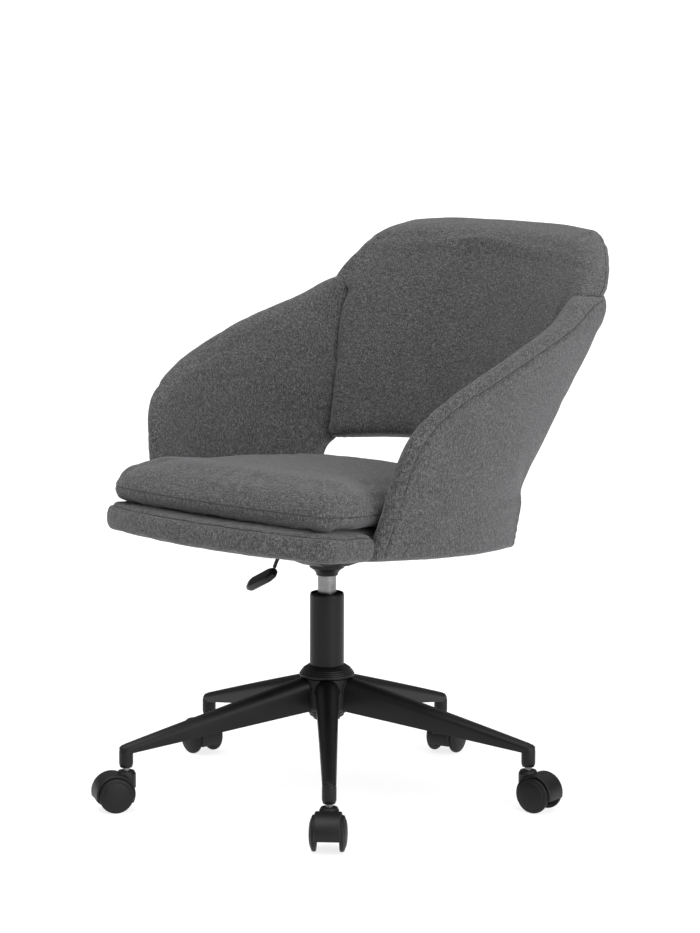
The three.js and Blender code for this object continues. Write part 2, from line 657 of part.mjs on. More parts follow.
// ---------------------------------------------------------------- assembly
const chair = new THREE.Group();
chair.position.copy(COLUMN);
chair.add(base());
for (let k = 0; k < LEG_COUNT; k++) chair.add(caster(k));
chair.add(gasLift(), mechanism(), upholstery());

export default chair;
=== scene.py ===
"""A swivel office chair, padded in grey melange cloth, on a black five-legged base with casters.

Shapes are worked out in millimetres about the lift column, +Z up, with the sitter facing -Y, and
mesh_object() turns them into metres in the frame's own place. Every piece rides on a CAD body.
"""

import math

import bmesh
import bpy
import numpy as np
from mathutils import Matrix, Vector
from mathutils.bvhtree import BVHTree
from mathutils.kdtree import KDTree


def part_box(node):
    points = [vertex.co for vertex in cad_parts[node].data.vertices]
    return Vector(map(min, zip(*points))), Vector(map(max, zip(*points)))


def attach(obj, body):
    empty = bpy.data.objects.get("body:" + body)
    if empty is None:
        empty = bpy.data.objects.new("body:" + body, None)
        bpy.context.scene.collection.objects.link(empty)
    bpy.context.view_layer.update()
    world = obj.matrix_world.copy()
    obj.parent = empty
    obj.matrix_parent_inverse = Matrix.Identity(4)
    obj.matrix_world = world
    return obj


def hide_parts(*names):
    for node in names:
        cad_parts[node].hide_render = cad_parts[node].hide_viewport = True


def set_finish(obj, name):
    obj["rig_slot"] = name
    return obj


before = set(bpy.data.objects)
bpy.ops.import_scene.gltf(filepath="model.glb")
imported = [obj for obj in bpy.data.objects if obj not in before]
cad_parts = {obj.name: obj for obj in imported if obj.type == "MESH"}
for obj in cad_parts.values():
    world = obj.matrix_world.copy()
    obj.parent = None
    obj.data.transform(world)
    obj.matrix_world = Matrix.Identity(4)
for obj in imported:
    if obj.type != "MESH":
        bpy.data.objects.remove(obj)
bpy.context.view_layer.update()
scene = bpy.context.scene

MM = 0.001
tube_low, tube_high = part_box("gas_outer_tube")
COLUMN = np.array([(tube_low.x + tube_high.x) / 2, (tube_low.y + tube_high.y) / 2, 0.0])

# ------------------------------------------------------------------ driving dimensions, millimetres
SEAT_TILT = 0.08  # the seat plane falls this much for each unit towards the back
SEAT_Z = 394.5  # the seat plane's height on the column's axis

LEGS = 5
FIRST_LEG = 0.762  # turn of the first leg from -Y towards +X, radians
STEM_RADIUS = 317
CASTER_TURNS = (-0.079, -0.305, 0.055, 0.037, -0.0155)  # how far each caster has swung off its leg
CASTER_TRAIL = 20
WHEEL_RADIUS = 26.5

CAMERA_TURN = math.radians(43)  # the camera stands this far round from the chair's front
CAMERA_DISTANCE = 4736
CAMERA_HEIGHT = 1206.8
CAMERA_PITCH = 0.14697
CAMERA_SWING = 0.00724
CAMERA_ROLL = 0.003
LENS = 122.34

SIM_FRAMES = 20


def unit(share):
    """share, held between 0 and 1."""
    return np.clip(share, 0, 1)


def ease(share):
    """From 0 to 1 with a smooth start and end."""
    share = unit(share)
    return share * share * (3 - 2 * share)


# ------------------------------------------------------------------ node graphs for the materials
class Graph:
    """A small helper that adds and links shader nodes."""

    def __init__(self, name):
        self.material = bpy.data.materials.new(name)
        self.material.use_nodes = True
        self.nodes = self.material.node_tree.nodes
        self.links = self.material.node_tree.links
        self.shader = self.nodes["Principled BSDF"]
        place = self.nodes.new("ShaderNodeTexCoord")
        self.place, self.normal = place.outputs["Object"], place.outputs["Normal"]

    def link(self, value, socket):
        if isinstance(value, bpy.types.NodeSocket):
            self.links.new(value, socket)
        else:
            socket.default_value = value

    def math(self, kind, a, b=0.0, c=0.0, clamp=False):
        node = self.nodes.new("ShaderNodeMath")
        node.operation, node.use_clamp = kind, clamp
        for value, socket in zip((a, b, c), node.inputs):
            self.link(value, socket)
        return node.outputs[0]

    def vector(self, kind, a, b=(0, 0, 0)):
        node = self.nodes.new("ShaderNodeVectorMath")
        node.operation = kind
        self.link(a, node.inputs[0])
        self.link(b, node.inputs[1])
        return node.outputs[0]

    def split(self, vector):
        node = self.nodes.new("ShaderNodeSeparateXYZ")
        self.link(vector, node.inputs[0])
        return node.outputs

    def noise(self, size, detail=2.0, stretch=(1, 1, 1), roughness=0.5):
        """Noise from 0 to 1 whose blobs are about size metres across."""
        node = self.nodes.new("ShaderNodeTexNoise")
        node.inputs["Scale"].default_value = 1 / size
        node.inputs["Detail"].default_value = detail
        node.inputs["Roughness"].default_value = roughness
        self.link(self.vector("MULTIPLY", self.place, stretch), node.inputs["Vector"])
        return node.outputs["Fac"]

    def ramp(self, value, *stops):
        node = self.nodes.new("ShaderNodeValToRGB")
        bar = node.color_ramp
        while len(bar.elements) < len(stops):
            bar.elements.new(0.5)
        for element, (spot, colour) in zip(bar.elements, stops):
            element.position = spot
            element.color = (*colour, 1)
        self.link(value, node.inputs[0])
        return node.outputs[0]

    def spread(self, value, low, high, start=0.0, end=1.0):
        """value, which runs from start to end, mapped to run from low to high."""
        node = self.nodes.new("ShaderNodeMapRange")
        for number, socket in zip((value, start, end, low, high), node.inputs):
            self.link(number, socket)
        return node.outputs[0]

    def bump(self, height, strength, distance, below=None):
        node = self.nodes.new("ShaderNodeBump")
        node.inputs["Strength"].default_value = strength
        node.inputs["Distance"].default_value = distance
        self.link(height, node.inputs["Height"])
        if below is not None:
            self.link(below, node.inputs["Normal"])
        return node.outputs[0]

    def finish(self, colour, roughness, normal, **settings):
        self.link(colour, self.shader.inputs["Base Color"])
        self.link(roughness, self.shader.inputs["Roughness"])
        self.link(normal, self.shader.inputs["Normal"])
        for name, value in settings.items():
            self.shader.inputs[name.replace("_", " ")].default_value = value
        return self.material


def woven(graph, pitch):
    """Height of a plain weave: one thread over and one under, on whichever plane the surface faces."""
    turns = graph.vector("MULTIPLY", graph.place, (math.pi / pitch,) * 3)
    sx, sy, sz = (graph.math("SINE", part) for part in graph.split(turns))
    nx, ny, nz = (graph.math("MULTIPLY", part, part) for part in graph.split(graph.normal))
    across_x = graph.math("MULTIPLY", nx, graph.math("MULTIPLY", sy, sz))
    across_y = graph.math("MULTIPLY_ADD", ny, graph.math("MULTIPLY", sx, sz), across_x)
    return graph.math("MULTIPLY_ADD", nz, graph.math("MULTIPLY", sx, sy), across_y)


def cloth_material(name, level, thread=0.0011):
    """Melange wool-look cloth: dark and light fibres spun together in a plain weave."""
    graph = Graph(name)
    weave = woven(graph, thread)
    fibre = graph.noise(0.0013, 2.0, roughness=0.6)
    upright = graph.noise(0.0015, 1.0, (1, 1, 0.22))
    level_slub = graph.noise(0.0016, 1.0, (0.22, 0.3, 1))
    patches = graph.noise(0.07, 2.0)
    mixed = graph.math("ADD", graph.math("MULTIPLY", fibre, 0.44), graph.math("MULTIPLY", upright, 0.36))
    mixed = graph.math("MULTIPLY_ADD", level_slub, 0.2, mixed)
    mixed = graph.math("MULTIPLY_ADD", weave, 0.05, mixed)
    mixed = graph.math("MULTIPLY_ADD", patches, 0.03, graph.math("SUBTRACT", mixed, 0.015))
    dark, mid, light = (tuple(level * part for part in tint) for tint in (
        (0.3, 0.3, 0.32), (0.92, 0.91, 0.94), (2.4, 2.37, 2.39)))
    colour = graph.ramp(mixed, (0.38, dark), (0.5, mid), (0.63, light))
    rough = graph.spread(fibre, 0.82, 1.0)
    fuzz = graph.bump(fibre, 0.35, 0.0007)
    normal = graph.bump(weave, 0.4, 0.0005, fuzz)
    return graph.finish(colour, rough, normal, Sheen_Weight=0.22, Sheen_Roughness=0.5,
                        Sheen_Tint=(0.9, 0.9, 0.93, 1), Specular_IOR_Level=0.25)


def thread_material():
    """Dark sewing thread: its twist shows as fine slanting ridges."""
    graph = Graph("thread")
    x, y, z = graph.split(graph.place)
    slant = graph.math("ADD", graph.math("ADD", x, y), z)
    twist = graph.math("SINE", graph.math("MULTIPLY", slant, 2 * math.pi / 0.0016))
    tone = graph.math("ADD", graph.math("MULTIPLY", twist, 0.25), graph.noise(0.0012))
    colour = graph.ramp(tone, (0.2, (0.012, 0.012, 0.013)), (0.8, (0.035, 0.035, 0.037)))
    return graph.finish(colour, 0.75, graph.bump(twist, 0.5, 0.0003), Sheen_Weight=0.1)


def plastic_material(name, level, roughness, grain=0.0009, **settings):
    """Black moulded nylon with a spark-eroded grain and faint flow marks."""
    graph = Graph(name)
    texture = graph.noise(grain, 3.0, roughness=0.6)
    flow = graph.noise(0.035, 3.0)
    scuffs = graph.noise(0.006, 4.0, (1, 1, 0.35))
    tone = graph.math("MULTIPLY_ADD", flow, 0.6, graph.math("MULTIPLY", texture, 0.4))
    colour = graph.ramp(tone, (0.3, (level * 0.7,) * 3), (0.7, (level * 1.25, level * 1.25, level * 1.3)))
    rough = graph.math("MULTIPLY_ADD", scuffs, 0.18, graph.spread(flow, roughness - 0.13, roughness - 0.03))
    normal = graph.bump(texture, 0.22, 0.00025)
    return graph.finish(colour, rough, normal, **settings)


def painted_material():
    """Black powder coat: satin, with orange peel and a few dull specks."""
    graph = Graph("painted")
    peel = graph.noise(0.0022, 2.0)
    fine = graph.noise(0.0006, 2.0)
    cloud = graph.noise(0.05, 2.0)
    colour = graph.ramp(cloud, (0.3, (0.004, 0.004, 0.0042)), (0.7, (0.0065, 0.0065, 0.007)))
    rough = graph.math("MULTIPLY_ADD", fine, 0.14, graph.spread(cloud, 0.34, 0.42))
    normal = graph.bump(fine, 0.12, 0.0002, graph.bump(peel, 0.18, 0.0004))
    return graph.finish(colour, rough, normal, Specular_IOR_Level=0.22, Coat_Weight=0.06, Coat_Roughness=0.35)


def steel_material():
    """Ground steel: fine rings round the column and a little grey clouding."""
    graph = Graph("steel")
    rings = graph.noise(0.0005, 2.0, (0.05, 0.05, 1))
    cloud = graph.noise(0.012, 3.0)
    tone = graph.math("MULTIPLY_ADD", rings, 0.5, graph.math("MULTIPLY", cloud, 0.5))
    colour = graph.ramp(tone, (0.3, (0.15, 0.15, 0.153)), (0.7, (0.3, 0.3, 0.305)))
    rough = graph.spread(rings, 0.28, 0.46)
    return graph.finish(colour, rough, graph.bump(rings, 0.15, 0.0002), Metallic=1.0)


def wood_material():
    """Raw plywood: long grain on the faces and thin plies on the edges."""
    graph = Graph("wood")
    grain = graph.noise(0.006, 5.0, (1, 0.06, 1), 0.6)
    plies = graph.math("SINE", graph.math("MULTIPLY", graph.split(graph.place)[2], 2 * math.pi / 0.0028))
    tone = graph.math("MULTIPLY_ADD", plies, 0.06, grain)
    colour = graph.ramp(tone, (0.3, (0.3, 0.15, 0.06)), (0.5, (0.46, 0.27, 0.12)), (0.72, (0.62, 0.41, 0.2)))
    return graph.finish(colour, 0.7, graph.bump(grain, 0.25, 0.0006))


def lining_material():
    """Black non-woven cloth: pressed dots on a felted ground."""
    graph = Graph("lining")
    felt = graph.noise(0.0012, 4.0, roughness=0.7)
    dots = woven(graph, 0.0025)
    colour = graph.ramp(felt, (0.3, (0.004, 0.004, 0.004)), (0.75, (0.022, 0.022, 0.023)))
    normal = graph.bump(dots, 0.5, 0.0004, graph.bump(felt, 0.3, 0.0004))
    return graph.finish(colour, 0.95, normal, Sheen_Weight=0.1)


CLOTH = cloth_material("fabric", 0.07)
THREAD = thread_material()
NYLON = plastic_material("nylon", 0.006, 0.46, Specular_IOR_Level=0.28)
TREAD = plastic_material("tread", 0.006, 0.52, 0.0012, Specular_IOR_Level=0.25)
GLOSSY = plastic_material("paddle", 0.004, 0.3, 0.0015, Specular_IOR_Level=0.3, Coat_Weight=0.2,
                          Coat_Roughness=0.18)
PAINT = painted_material()
STEEL = steel_material()
WOOD = wood_material()
LINING = lining_material()


# ------------------------------------------------------------------ meshes
def smooth(mesh, sharp=None):
    """Shades a mesh smooth, but for edges sharper than that many degrees."""
    mesh.polygons.foreach_set("use_smooth", [True] * len(mesh.polygons))
    if sharp is not None:
        mesh.set_sharp_from_angle(angle=math.radians(sharp))


def mesh_object(name, points, faces, material, slot, sharp=None):
    """A mesh from points in millimetres about the column, with its faces turned outwards."""
    mesh = bpy.data.meshes.new(name)
    spots = np.asarray(points, float) * MM + COLUMN
    mesh.from_pydata(spots.tolist(), [], [list(face) for face in faces])
    work = bmesh.new()
    work.from_mesh(mesh)
    bmesh.ops.recalc_face_normals(work, faces=work.faces)
    work.to_mesh(mesh)
    work.free()
    smooth(mesh, sharp)
    mesh.materials.append(material)
    obj = bpy.data.objects.new(name, mesh)
    scene.collection.objects.link(obj)
    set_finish(obj, slot)
    return obj


def merged(*meshes):
    """Several (points, faces) as one."""
    points, faces = [], []
    for more_points, more_faces in meshes:
        start = sum(len(p) for p in points)
        points.append(np.asarray(more_points, float))
        faces += [[start + i for i in face] for face in more_faces]
    return np.vstack(points), faces


def turned(profile, sides=64):
    """A closed surface of revolution about Z from (radius, height) pairs; a radius of 0 is a pole."""
    rings, points = [], []
    for radius, height in profile:
        if radius < 1e-6:
            rings.append([len(points)] * sides)
            points.append((0, 0, height))
            continue
        rings.append(list(range(len(points), len(points) + sides)))
        for k in range(sides):
            turn = 2 * math.pi * k / sides
            points.append((radius * math.cos(turn), radius * math.sin(turn), height))
    faces = []
    for a, b in zip(rings, rings[1:]):
        for k in range(sides):
            face = [a[k], a[(k + 1) % sides], b[(k + 1) % sides], b[k]]
            faces.append(list(dict.fromkeys(face)))
    return np.array(points, float), [face for face in faces if len(face) > 2]


def eased(corners, radius, steps=4, closed=False):
    """A polyline with corners rounded to about that radius, or to a corner's own third number."""
    out = []
    count = len(corners)
    for i, corner in enumerate(corners):
        here = np.array(corner[:2], float)
        if not closed and i in (0, count - 1):
            out.append(here)
            continue
        before = np.array(corners[i - 1][:2], float)
        after = np.array(corners[(i + 1) % count][:2], float)
        back, on = before - here, after - here
        reach = corner[2] if len(corner) > 2 else radius
        reach = min(reach, 0.48 * np.linalg.norm(back), 0.48 * np.linalg.norm(on))
        start, end = here + back / np.linalg.norm(back) * reach, here + on / np.linalg.norm(on) * reach
        for k in range(steps + 1):
            t = k / steps
            out.append((1 - t) ** 2 * start + 2 * t * (1 - t) * here + t * t * end)
    return [tuple(spot) for spot in out]


def turned_ring(corners, steps=4):
    """A ring turned about Z from the corners of its section."""
    profile = eased(corners, 1.0, steps)
    return turned(profile + [profile[0]], 96)


def spin(angle, axis):
    return Matrix.Rotation(angle, 4, axis)


def moved(mesh, matrix):
    points, faces = mesh
    turn = np.array(matrix.to_3x3())
    return points @ turn.T + np.array(matrix.translation), faces


def tube(path, radius, sides=10, closed=False):
    """A round cord along a list of points, as (points, faces)."""
    spots = np.asarray(path, float)
    count = len(spots)
    if closed:
        ahead = np.roll(spots, -1, axis=0) - np.roll(spots, 1, axis=0)
    else:
        ahead = np.gradient(spots, axis=0)
    ahead /= np.linalg.norm(ahead, axis=1)[:, None]
    side = np.cross(ahead[0], (0.3, 0.2, 1.0))
    points = []
    for k in range(count):
        side = side - ahead[k] * np.dot(side, ahead[k])
        side /= np.linalg.norm(side)
        up = np.cross(ahead[k], side)
        for j in range(sides):
            turn = 2 * math.pi * j / sides
            points.append(spots[k] + radius * (math.cos(turn) * side + math.sin(turn) * up))
    faces = []
    for k in range(count if closed else count - 1):
        a, b = k * sides, (k + 1) % count * sides
        for j in range(sides):
            n = (j + 1) % sides
            faces.append([a + j, a + n, b + n, b + j])
    if not closed:
        faces.append(list(range(sides))[::-1])
        faces.append(list(range((count - 1) * sides, count * sides)))
    return np.array(points), faces


def lofted(rings):
    """A closed solid through rings of equal length."""
    count = len(rings[0])
    points = np.vstack([np.asarray(ring, float) for ring in rings])
    faces = []
    for k in range(len(rings) - 1):
        for i in range(count):
            j = (i + 1) % count
            faces.append([k * count + i, k * count + j, (k + 1) * count + j, (k + 1) * count + i])
    faces.append(list(range(count))[::-1])
    faces.append(list(range((len(rings) - 1) * count, len(rings) * count)))
    return points, faces


def apply_modifiers(obj):
    """Bakes obj's modifiers into its own mesh."""
    bpy.context.view_layer.update()
    graph = bpy.context.evaluated_depsgraph_get()
    made = bpy.data.meshes.new_from_object(obj.evaluated_get(graph))
    obj.modifiers.clear()
    obj.data = made
    return obj


def bevelled(obj, width, segments=3, angle=30):
    """Rounds obj's sharp edges by width millimetres."""
    bevel = obj.modifiers.new("Bevel", "BEVEL")
    bevel.width = width * MM
    bevel.segments = segments
    bevel.limit_method = "ANGLE"
    bevel.angle_limit = math.radians(angle)
    bevel.harden_normals = True
    return obj


def stands_for(obj, node, body):
    """Shows obj in place of a CAD node, riding on that body."""
    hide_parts(node)
    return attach(obj, body)


def refined(node, body, material, slot, width):
    """A CAD node's own shape with eased edges and smooth round faces."""
    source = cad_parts[node]
    obj = bpy.data.objects.new(node + "_finished", source.data.copy())
    scene.collection.objects.link(obj)
    work = bmesh.new()
    work.from_mesh(obj.data)
    bmesh.ops.remove_doubles(work, verts=work.verts, dist=1e-6)
    bmesh.ops.dissolve_limit(work, angle_limit=math.radians(1), verts=work.verts, edges=work.edges)
    work.to_mesh(obj.data)
    work.free()
    smooth(obj.data, 32)
    obj.data.materials.clear()
    obj.data.materials.append(material)
    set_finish(obj, slot)
    return stands_for(bevelled(obj, width, 2, 35), node, body)


# ------------------------------------------------------------------ padded panels
def reach_along(points):
    """How far along a polyline each of its points lies."""
    return np.concatenate([[0], np.cumsum(np.linalg.norm(np.diff(points, axis=0), axis=1))])


def relaxed(line):
    """A polyline smoothed a little between its ends."""
    for _ in range(3):
        line[1:-1] = (line[:-2] + 2 * line[1:-1] + line[2:]) / 4
    return line


def point_tree(spots):
    tree = KDTree(len(spots))
    for i, spot in enumerate(spots):
        tree.insert(spot, i)
    tree.balance()
    return tree


def along(points, shares):
    """Points at those shares, from 0 to 1, of a polyline's length."""
    points = np.asarray(points, float)
    reach = reach_along(points)
    reach /= reach[-1]
    return np.stack([np.interp(shares, reach, points[:, k]) for k in range(points.shape[1])], axis=1)


def spaced(cells):
    """Shares from 0 to 1, closer together at both ends."""
    even = np.linspace(0, 1, cells + 1)
    return 0.45 * even + 0.55 * (0.5 - 0.5 * np.cos(math.pi * even))


def patch(low, high, left, right, across, up):
    """A grid of 2-D points that fills four border polylines; left and right run from low to high."""
    s, t = spaced(across), spaced(up)
    low, high = along(low, s), along(high, s)
    left, right = along(left, t), along(right, t)
    s, t = s[None, :, None], t[:, None, None]
    ruled = (1 - t) * low[None] + t * high[None] + (1 - s) * left[:, None] + s * right[:, None]
    corners = (1 - s) * (1 - t) * low[0] + s * (1 - t) * low[-1] + (1 - s) * t * high[0] + s * t * high[-1]
    return ruled - corners


def nearest(points, line):
    """Distance in 2-D from each point of a grid to a polyline."""
    starts, ends = line[:-1], line[1:]
    steps = ends - starts
    lengths = np.maximum((steps ** 2).sum(1), 1e-9)
    flat = points.reshape(-1, 1, 2)
    shares = unit(((flat - starts) * steps).sum(2) / lengths)
    gaps = flat - (starts + shares[..., None] * steps)
    return np.sqrt((gaps ** 2).sum(2)).min(1).reshape(points.shape[:-1])


def border_of(grid):
    """The grid's whole border as one closed polyline."""
    return np.vstack([grid[0], grid[1:, -1], grid[-1][::-1][1:], grid[:, 0][::-1][1:]])


def around(grid, count):
    """Two rows: the coordinates of points spaced evenly along the grid's border."""
    return along(border_of(grid), np.linspace(0, 1, count)).T


def roundness(grid, reach, power):
    """From 0 on the grid's border to 1 inside, along a superellipse. reach is one radius, or one for each
    of the low, high, left and right borders; a radius may vary over the grid."""
    borders = (grid[0], grid[-1], grid[:, 0], grid[:, -1])
    if not isinstance(reach, tuple):
        borders, reach = (border_of(grid),), (reach,)
    keep = np.ones(grid.shape[:-1])
    for border, radius in zip(borders, reach):
        gap = np.minimum(nearest(grid, border) / radius, 1)
        keep = keep * (1 - (1 - gap) ** power) ** (1 / power)
    return keep


def slab(grid, place, front, rear, rim, front_reach, rear_reach, power=2.0):
    """A padded panel over a 2-D grid: its two faces meet in a rounded border, rim of the way from front
    to rear. Returns the mesh, and which of its points are on the border."""
    p, q = grid[..., 0], grid[..., 1]
    near, far = front(p, q), rear(p, q)
    edge = near + rim * (far - near)
    rows, columns = p.shape
    index = np.arange(rows * columns).reshape(rows, columns)
    inner = np.arange((rows - 2) * (columns - 2)).reshape(rows - 2, columns - 2) + rows * columns
    other = index.copy()
    other[1:-1, 1:-1] = inner
    one = place(p, q, edge + (near - edge) * roundness(grid, front_reach, power))
    two = place(p, q, edge + (far - edge) * roundness(grid, rear_reach, power))
    points = np.vstack([one.reshape(-1, 3), two[1:-1, 1:-1].reshape(-1, 3)])
    faces = []
    for table, flip in ((index, False), (other, True)):
        quads = np.stack([table[:-1, :-1], table[:-1, 1:], table[1:, 1:], table[1:, :-1]], axis=-1)
        quads = quads.reshape(-1, 4)
        faces += (quads[:, ::-1] if flip else quads).tolist()
    border = np.concatenate([index[0], index[-1], index[1:-1, 0], index[1:-1, -1]])
    return (points, faces), border


class Pad:
    """A padded piece on its way from plain shape to finished cloth."""

    def __init__(self, name, made, cap, pressure, seams):
        mesh, border = made
        self.obj = mesh_object(name, *mesh, CLOTH, "fabric")
        self.cap, self.pressure, self.seams = cap, pressure, seams
        self.pinned = set(int(i) for i in border)

    def read(self, what, mesh=None):
        """Every vertex's place, "co", or its "normal"."""
        mesh = mesh or self.obj.data
        rows = np.empty(len(mesh.vertices) * 3, np.float32)
        mesh.vertices.foreach_get(what, rows)
        return rows.reshape(-1, 3).astype(float)

    def set_points(self, spots):
        self.obj.data.vertices.foreach_set("co", np.asarray(spots, np.float32).ravel())
        self.obj.data.update()

    def add_cloth(self):
        """Sews the pad down along its border and seams, and leaves the rest free to swell."""
        spots = self.read("co") / MM - COLUMN / MM
        tree = point_tree(spots)
        for seam in self.seams:
            for spot in seam:
                self.pinned.update(i for _, i, _ in tree.find_range(spot, 3.2))
        group = self.obj.vertex_groups.new(name="sewn")
        group.add(sorted(self.pinned), 1.0, "REPLACE")
        cloth = self.obj.modifiers.new("Cloth", "CLOTH")
        settings = cloth.settings
        settings.quality = 5
        settings.mass = 0.25
        settings.tension_stiffness = settings.compression_stiffness = 12
        settings.shear_stiffness = 6
        settings.bending_stiffness = 0.6
        settings.shrink_min = -0.004
        settings.use_pressure = True
        settings.uniform_pressure_force = self.pressure
        settings.vertex_group_mass = group.name
        settings.effector_weights.gravity = 0
        cloth.collision_settings.use_collision = False
        cloth.point_cache.frame_start, cloth.point_cache.frame_end = 1, SIM_FRAMES

    def take_cloth(self):
        """Keeps the swollen shape, with no point further than cap from where it began."""
        graph = bpy.context.evaluated_depsgraph_get()
        swollen = self.read("co", self.obj.evaluated_get(graph).data)
        self.obj.modifiers.clear()
        self.obj.vertex_groups.clear()
        rest = self.read("co")
        move = np.nan_to_num(swollen - rest)
        size = np.linalg.norm(move, axis=1, keepdims=True)
        limit = self.cap * MM
        self.set_points(rest + move * (limit * np.tanh(size / limit) / np.maximum(size, 1e-9)))

    def subdivide(self):
        subdivision = self.obj.modifiers.new("Subdivision", "SUBSURF")
        subdivision.levels = subdivision.render_levels = 1
        apply_modifiers(self.obj)
        smooth(self.obj.data)

    def sew(self, depth=1.9, width=2.0, pucker=0.55):
        """Pulls the cloth down along each seam, with the small puckers that its stitches make."""
        spots, normals = self.read("co"), self.read("normal")
        shift = np.zeros(len(spots))
        for seam in self.seams:
            line = np.asarray(seam) * MM + COLUMN
            reach = reach_along(line) / MM
            tree = point_tree(line)
            near = np.array([tree.find(spot)[1:] for spot in spots])
            gap, where = near[:, 1] / MM, reach[near[:, 0].astype(int)]
            ripple = np.sin(where * 0.55 + 2 * np.sin(where * 0.083)) * np.sin(where * 0.031 + 1)
            shift -= depth * np.exp(-((gap / width) ** 2))
            shift += (0.6 + pucker * ripple) * np.exp(-(((gap - 6.5) / 5) ** 2))
        self.set_points(spots + normals * shift[:, None] * MM)

    def soften(self, height=0.5, size=70):
        """Broad, shallow hand-made unevenness over the whole pad."""
        spots, normals = self.read("co"), self.read("normal")
        place = (spots - COLUMN) / MM / size
        wave = np.sin(place[:, 0] * 5.1 + 1.3 * np.sin(place[:, 2] * 3.7)) + np.sin(
            place[:, 1] * 4.3 + 1.7 * np.sin(place[:, 0] * 2.9 + 1)) + np.sin(place[:, 2] * 4.9 + place[:, 1])
        self.set_points(spots + normals * (wave * height / 3 * MM)[:, None])


def surface_tree(pad):
    mesh = pad.obj.data
    return BVHTree.FromPolygons([v.co for v in mesh.vertices], [p.vertices for p in mesh.polygons])


def seam_thread(name, pad, radius=0.75, sink=0.2):
    """A dark thread laid along a pad's seams, on the cloth."""
    tree = surface_tree(pad)
    cords = []
    for seam in pad.seams:
        spots = []
        for spot in seam:
            found, normal, _, _ = tree.find_nearest(Vector(np.asarray(spot) * MM + COLUMN))
            spots.append((np.array(found) - COLUMN) / MM - np.array(normal) * sink)
        cords.append(tube(relaxed(np.array(spots)), radius, 8))
    obj = mesh_object(name, *merged(*cords), THREAD, "fabric")
    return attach(obj, "seat")


def joint_thread(name, arm, back, side):
    """A dark thread over the arm's rounded top end, along the line where it runs into the back's cloth."""
    tree = surface_tree(back)
    local = (arm.read("co") - COLUMN) / MM
    near = (local[:, 1] > 240) & (local[:, 2] > 690)
    inside = {}
    for i in np.nonzero(near)[0]:
        spot = arm.obj.data.vertices[i].co
        found, normal, _, _ = tree.find_nearest(spot)
        inside[i] = (spot - found).dot(normal) / MM
    spots = []
    for edge in arm.obj.data.edges:
        a, b = edge.vertices
        if a in inside and b in inside and inside[a] * inside[b] < 0:
            share = inside[a] / (inside[a] - inside[b])
            spots.append(local[a] * (1 - share) + local[b] * share)
    spots = np.array(spots)
    turns = np.arctan2(spots[:, 2] - 690, 352 - spots[:, 1])
    reach = np.hypot(spots[:, 2] - 690, 352 - spots[:, 1])
    bins = np.linspace(turns.min(), turns.max(), 41)
    line = []
    for a, b in zip(bins, bins[1:]):
        chosen = (turns >= a) & (turns <= b)
        if chosen.any():
            line.append(spots[chosen][np.argmax(reach[chosen])])
    line = relaxed(np.array(line)) + (-0.3 * side, -0.8, 0.8)
    obj = mesh_object(name, *tube(along(line, np.linspace(0, 1, 90)), 1.1, 8), THREAD, "fabric")
    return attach(obj, "seat")


# ------------------------------------------------------------------ the shell's shape
LOW_BEND, MIDDLE_BEND, HIGH_BEND = 474, 600, 715  # heights at which the shell's rear changes its lean
LOW_REAR, LOW_HALF = 206.3, 198  # at the low bend: the rear edge's y, and half the width there


def rear_edge_y(z):
    """The y of an arm panel's rear edge."""
    middle = np.where(z < MIDDLE_BEND, LOW_REAR + (z - LOW_BEND) * 0.6325, 286 + (z - MIDDLE_BEND) * 0.548)
    upper = np.where(z < HIGH_BEND, middle, 349 + (z - HIGH_BEND) * 0.2)
    below = LOW_REAR - (LOW_BEND - z) * 0.16 + 6.5 * ease((462 - z) / 10)
    return np.where(z < LOW_BEND, below, upper)


def arm_x(y, z):
    """Distance of an arm panel's middle from the chair's middle plane."""
    upper = np.where(z < MIDDLE_BEND, LOW_HALF + (z - LOW_BEND) * 0.0786, 207.9 + (z - MIDDLE_BEND) * 0.158)
    rear_x = np.where(z < LOW_BEND, LOW_HALF - (LOW_BEND - z) * 0.07, upper)
    front_x = 248 + 0.25 * (z - 510)
    u = (y + 120) / (rear_edge_y(z) + 120)
    return front_x * (1 - u) + rear_x * u + 108 * u * (1 - u)


def arm_swell(y, z):
    back = unit((y + 120) / (rear_edge_y(z) + 120))
    return 12 * back ** 2 * unit((z - 450) / 250)


def curve_through(spots, count=160):
    """A smooth curve through the spots, as count points: a Catmull-Rom spline."""
    spots = np.asarray(spots, float)
    padded = np.vstack([2 * spots[0] - spots[1], spots, 2 * spots[-1] - spots[-2]])
    out = []
    spans = len(spots) - 1
    for share in np.linspace(0, spans - 1e-9, count):
        k, t = int(share), share - int(share)
        a, b, c, d = padded[k : k + 4]
        out.append(0.5 * (2 * b + (c - a) * t + (2 * a - 5 * b + 4 * c - d) * t * t
                          + (3 * b - a - 3 * c + d) * t ** 3))
    return np.array(out)


ARM_THICK = 27
ARM_EDGE = curve_through([
    (-147, 404), (-137, 464), (-126, 538), (-111, 582), (-85, 613), (-46, 638),
    (-6, 657), (81, 690), (208, 730), (291, 754), (357, 764)])
ARM_LOW, ARM_HIGH = 379, 764


def arm_grid():
    """The arm panel's outline in side view, as a grid of (y, z)."""
    corner = int(len(ARM_EDGE) * 0.4)
    heights = np.linspace(ARM_LOW, ARM_HIGH, 60)
    rear = np.stack([rear_edge_y(heights), heights], axis=1)
    low = np.linspace(ARM_EDGE[0], rear[0], 40)
    return patch(low, ARM_EDGE[corner:], ARM_EDGE[: corner + 1], rear, 96, 66)


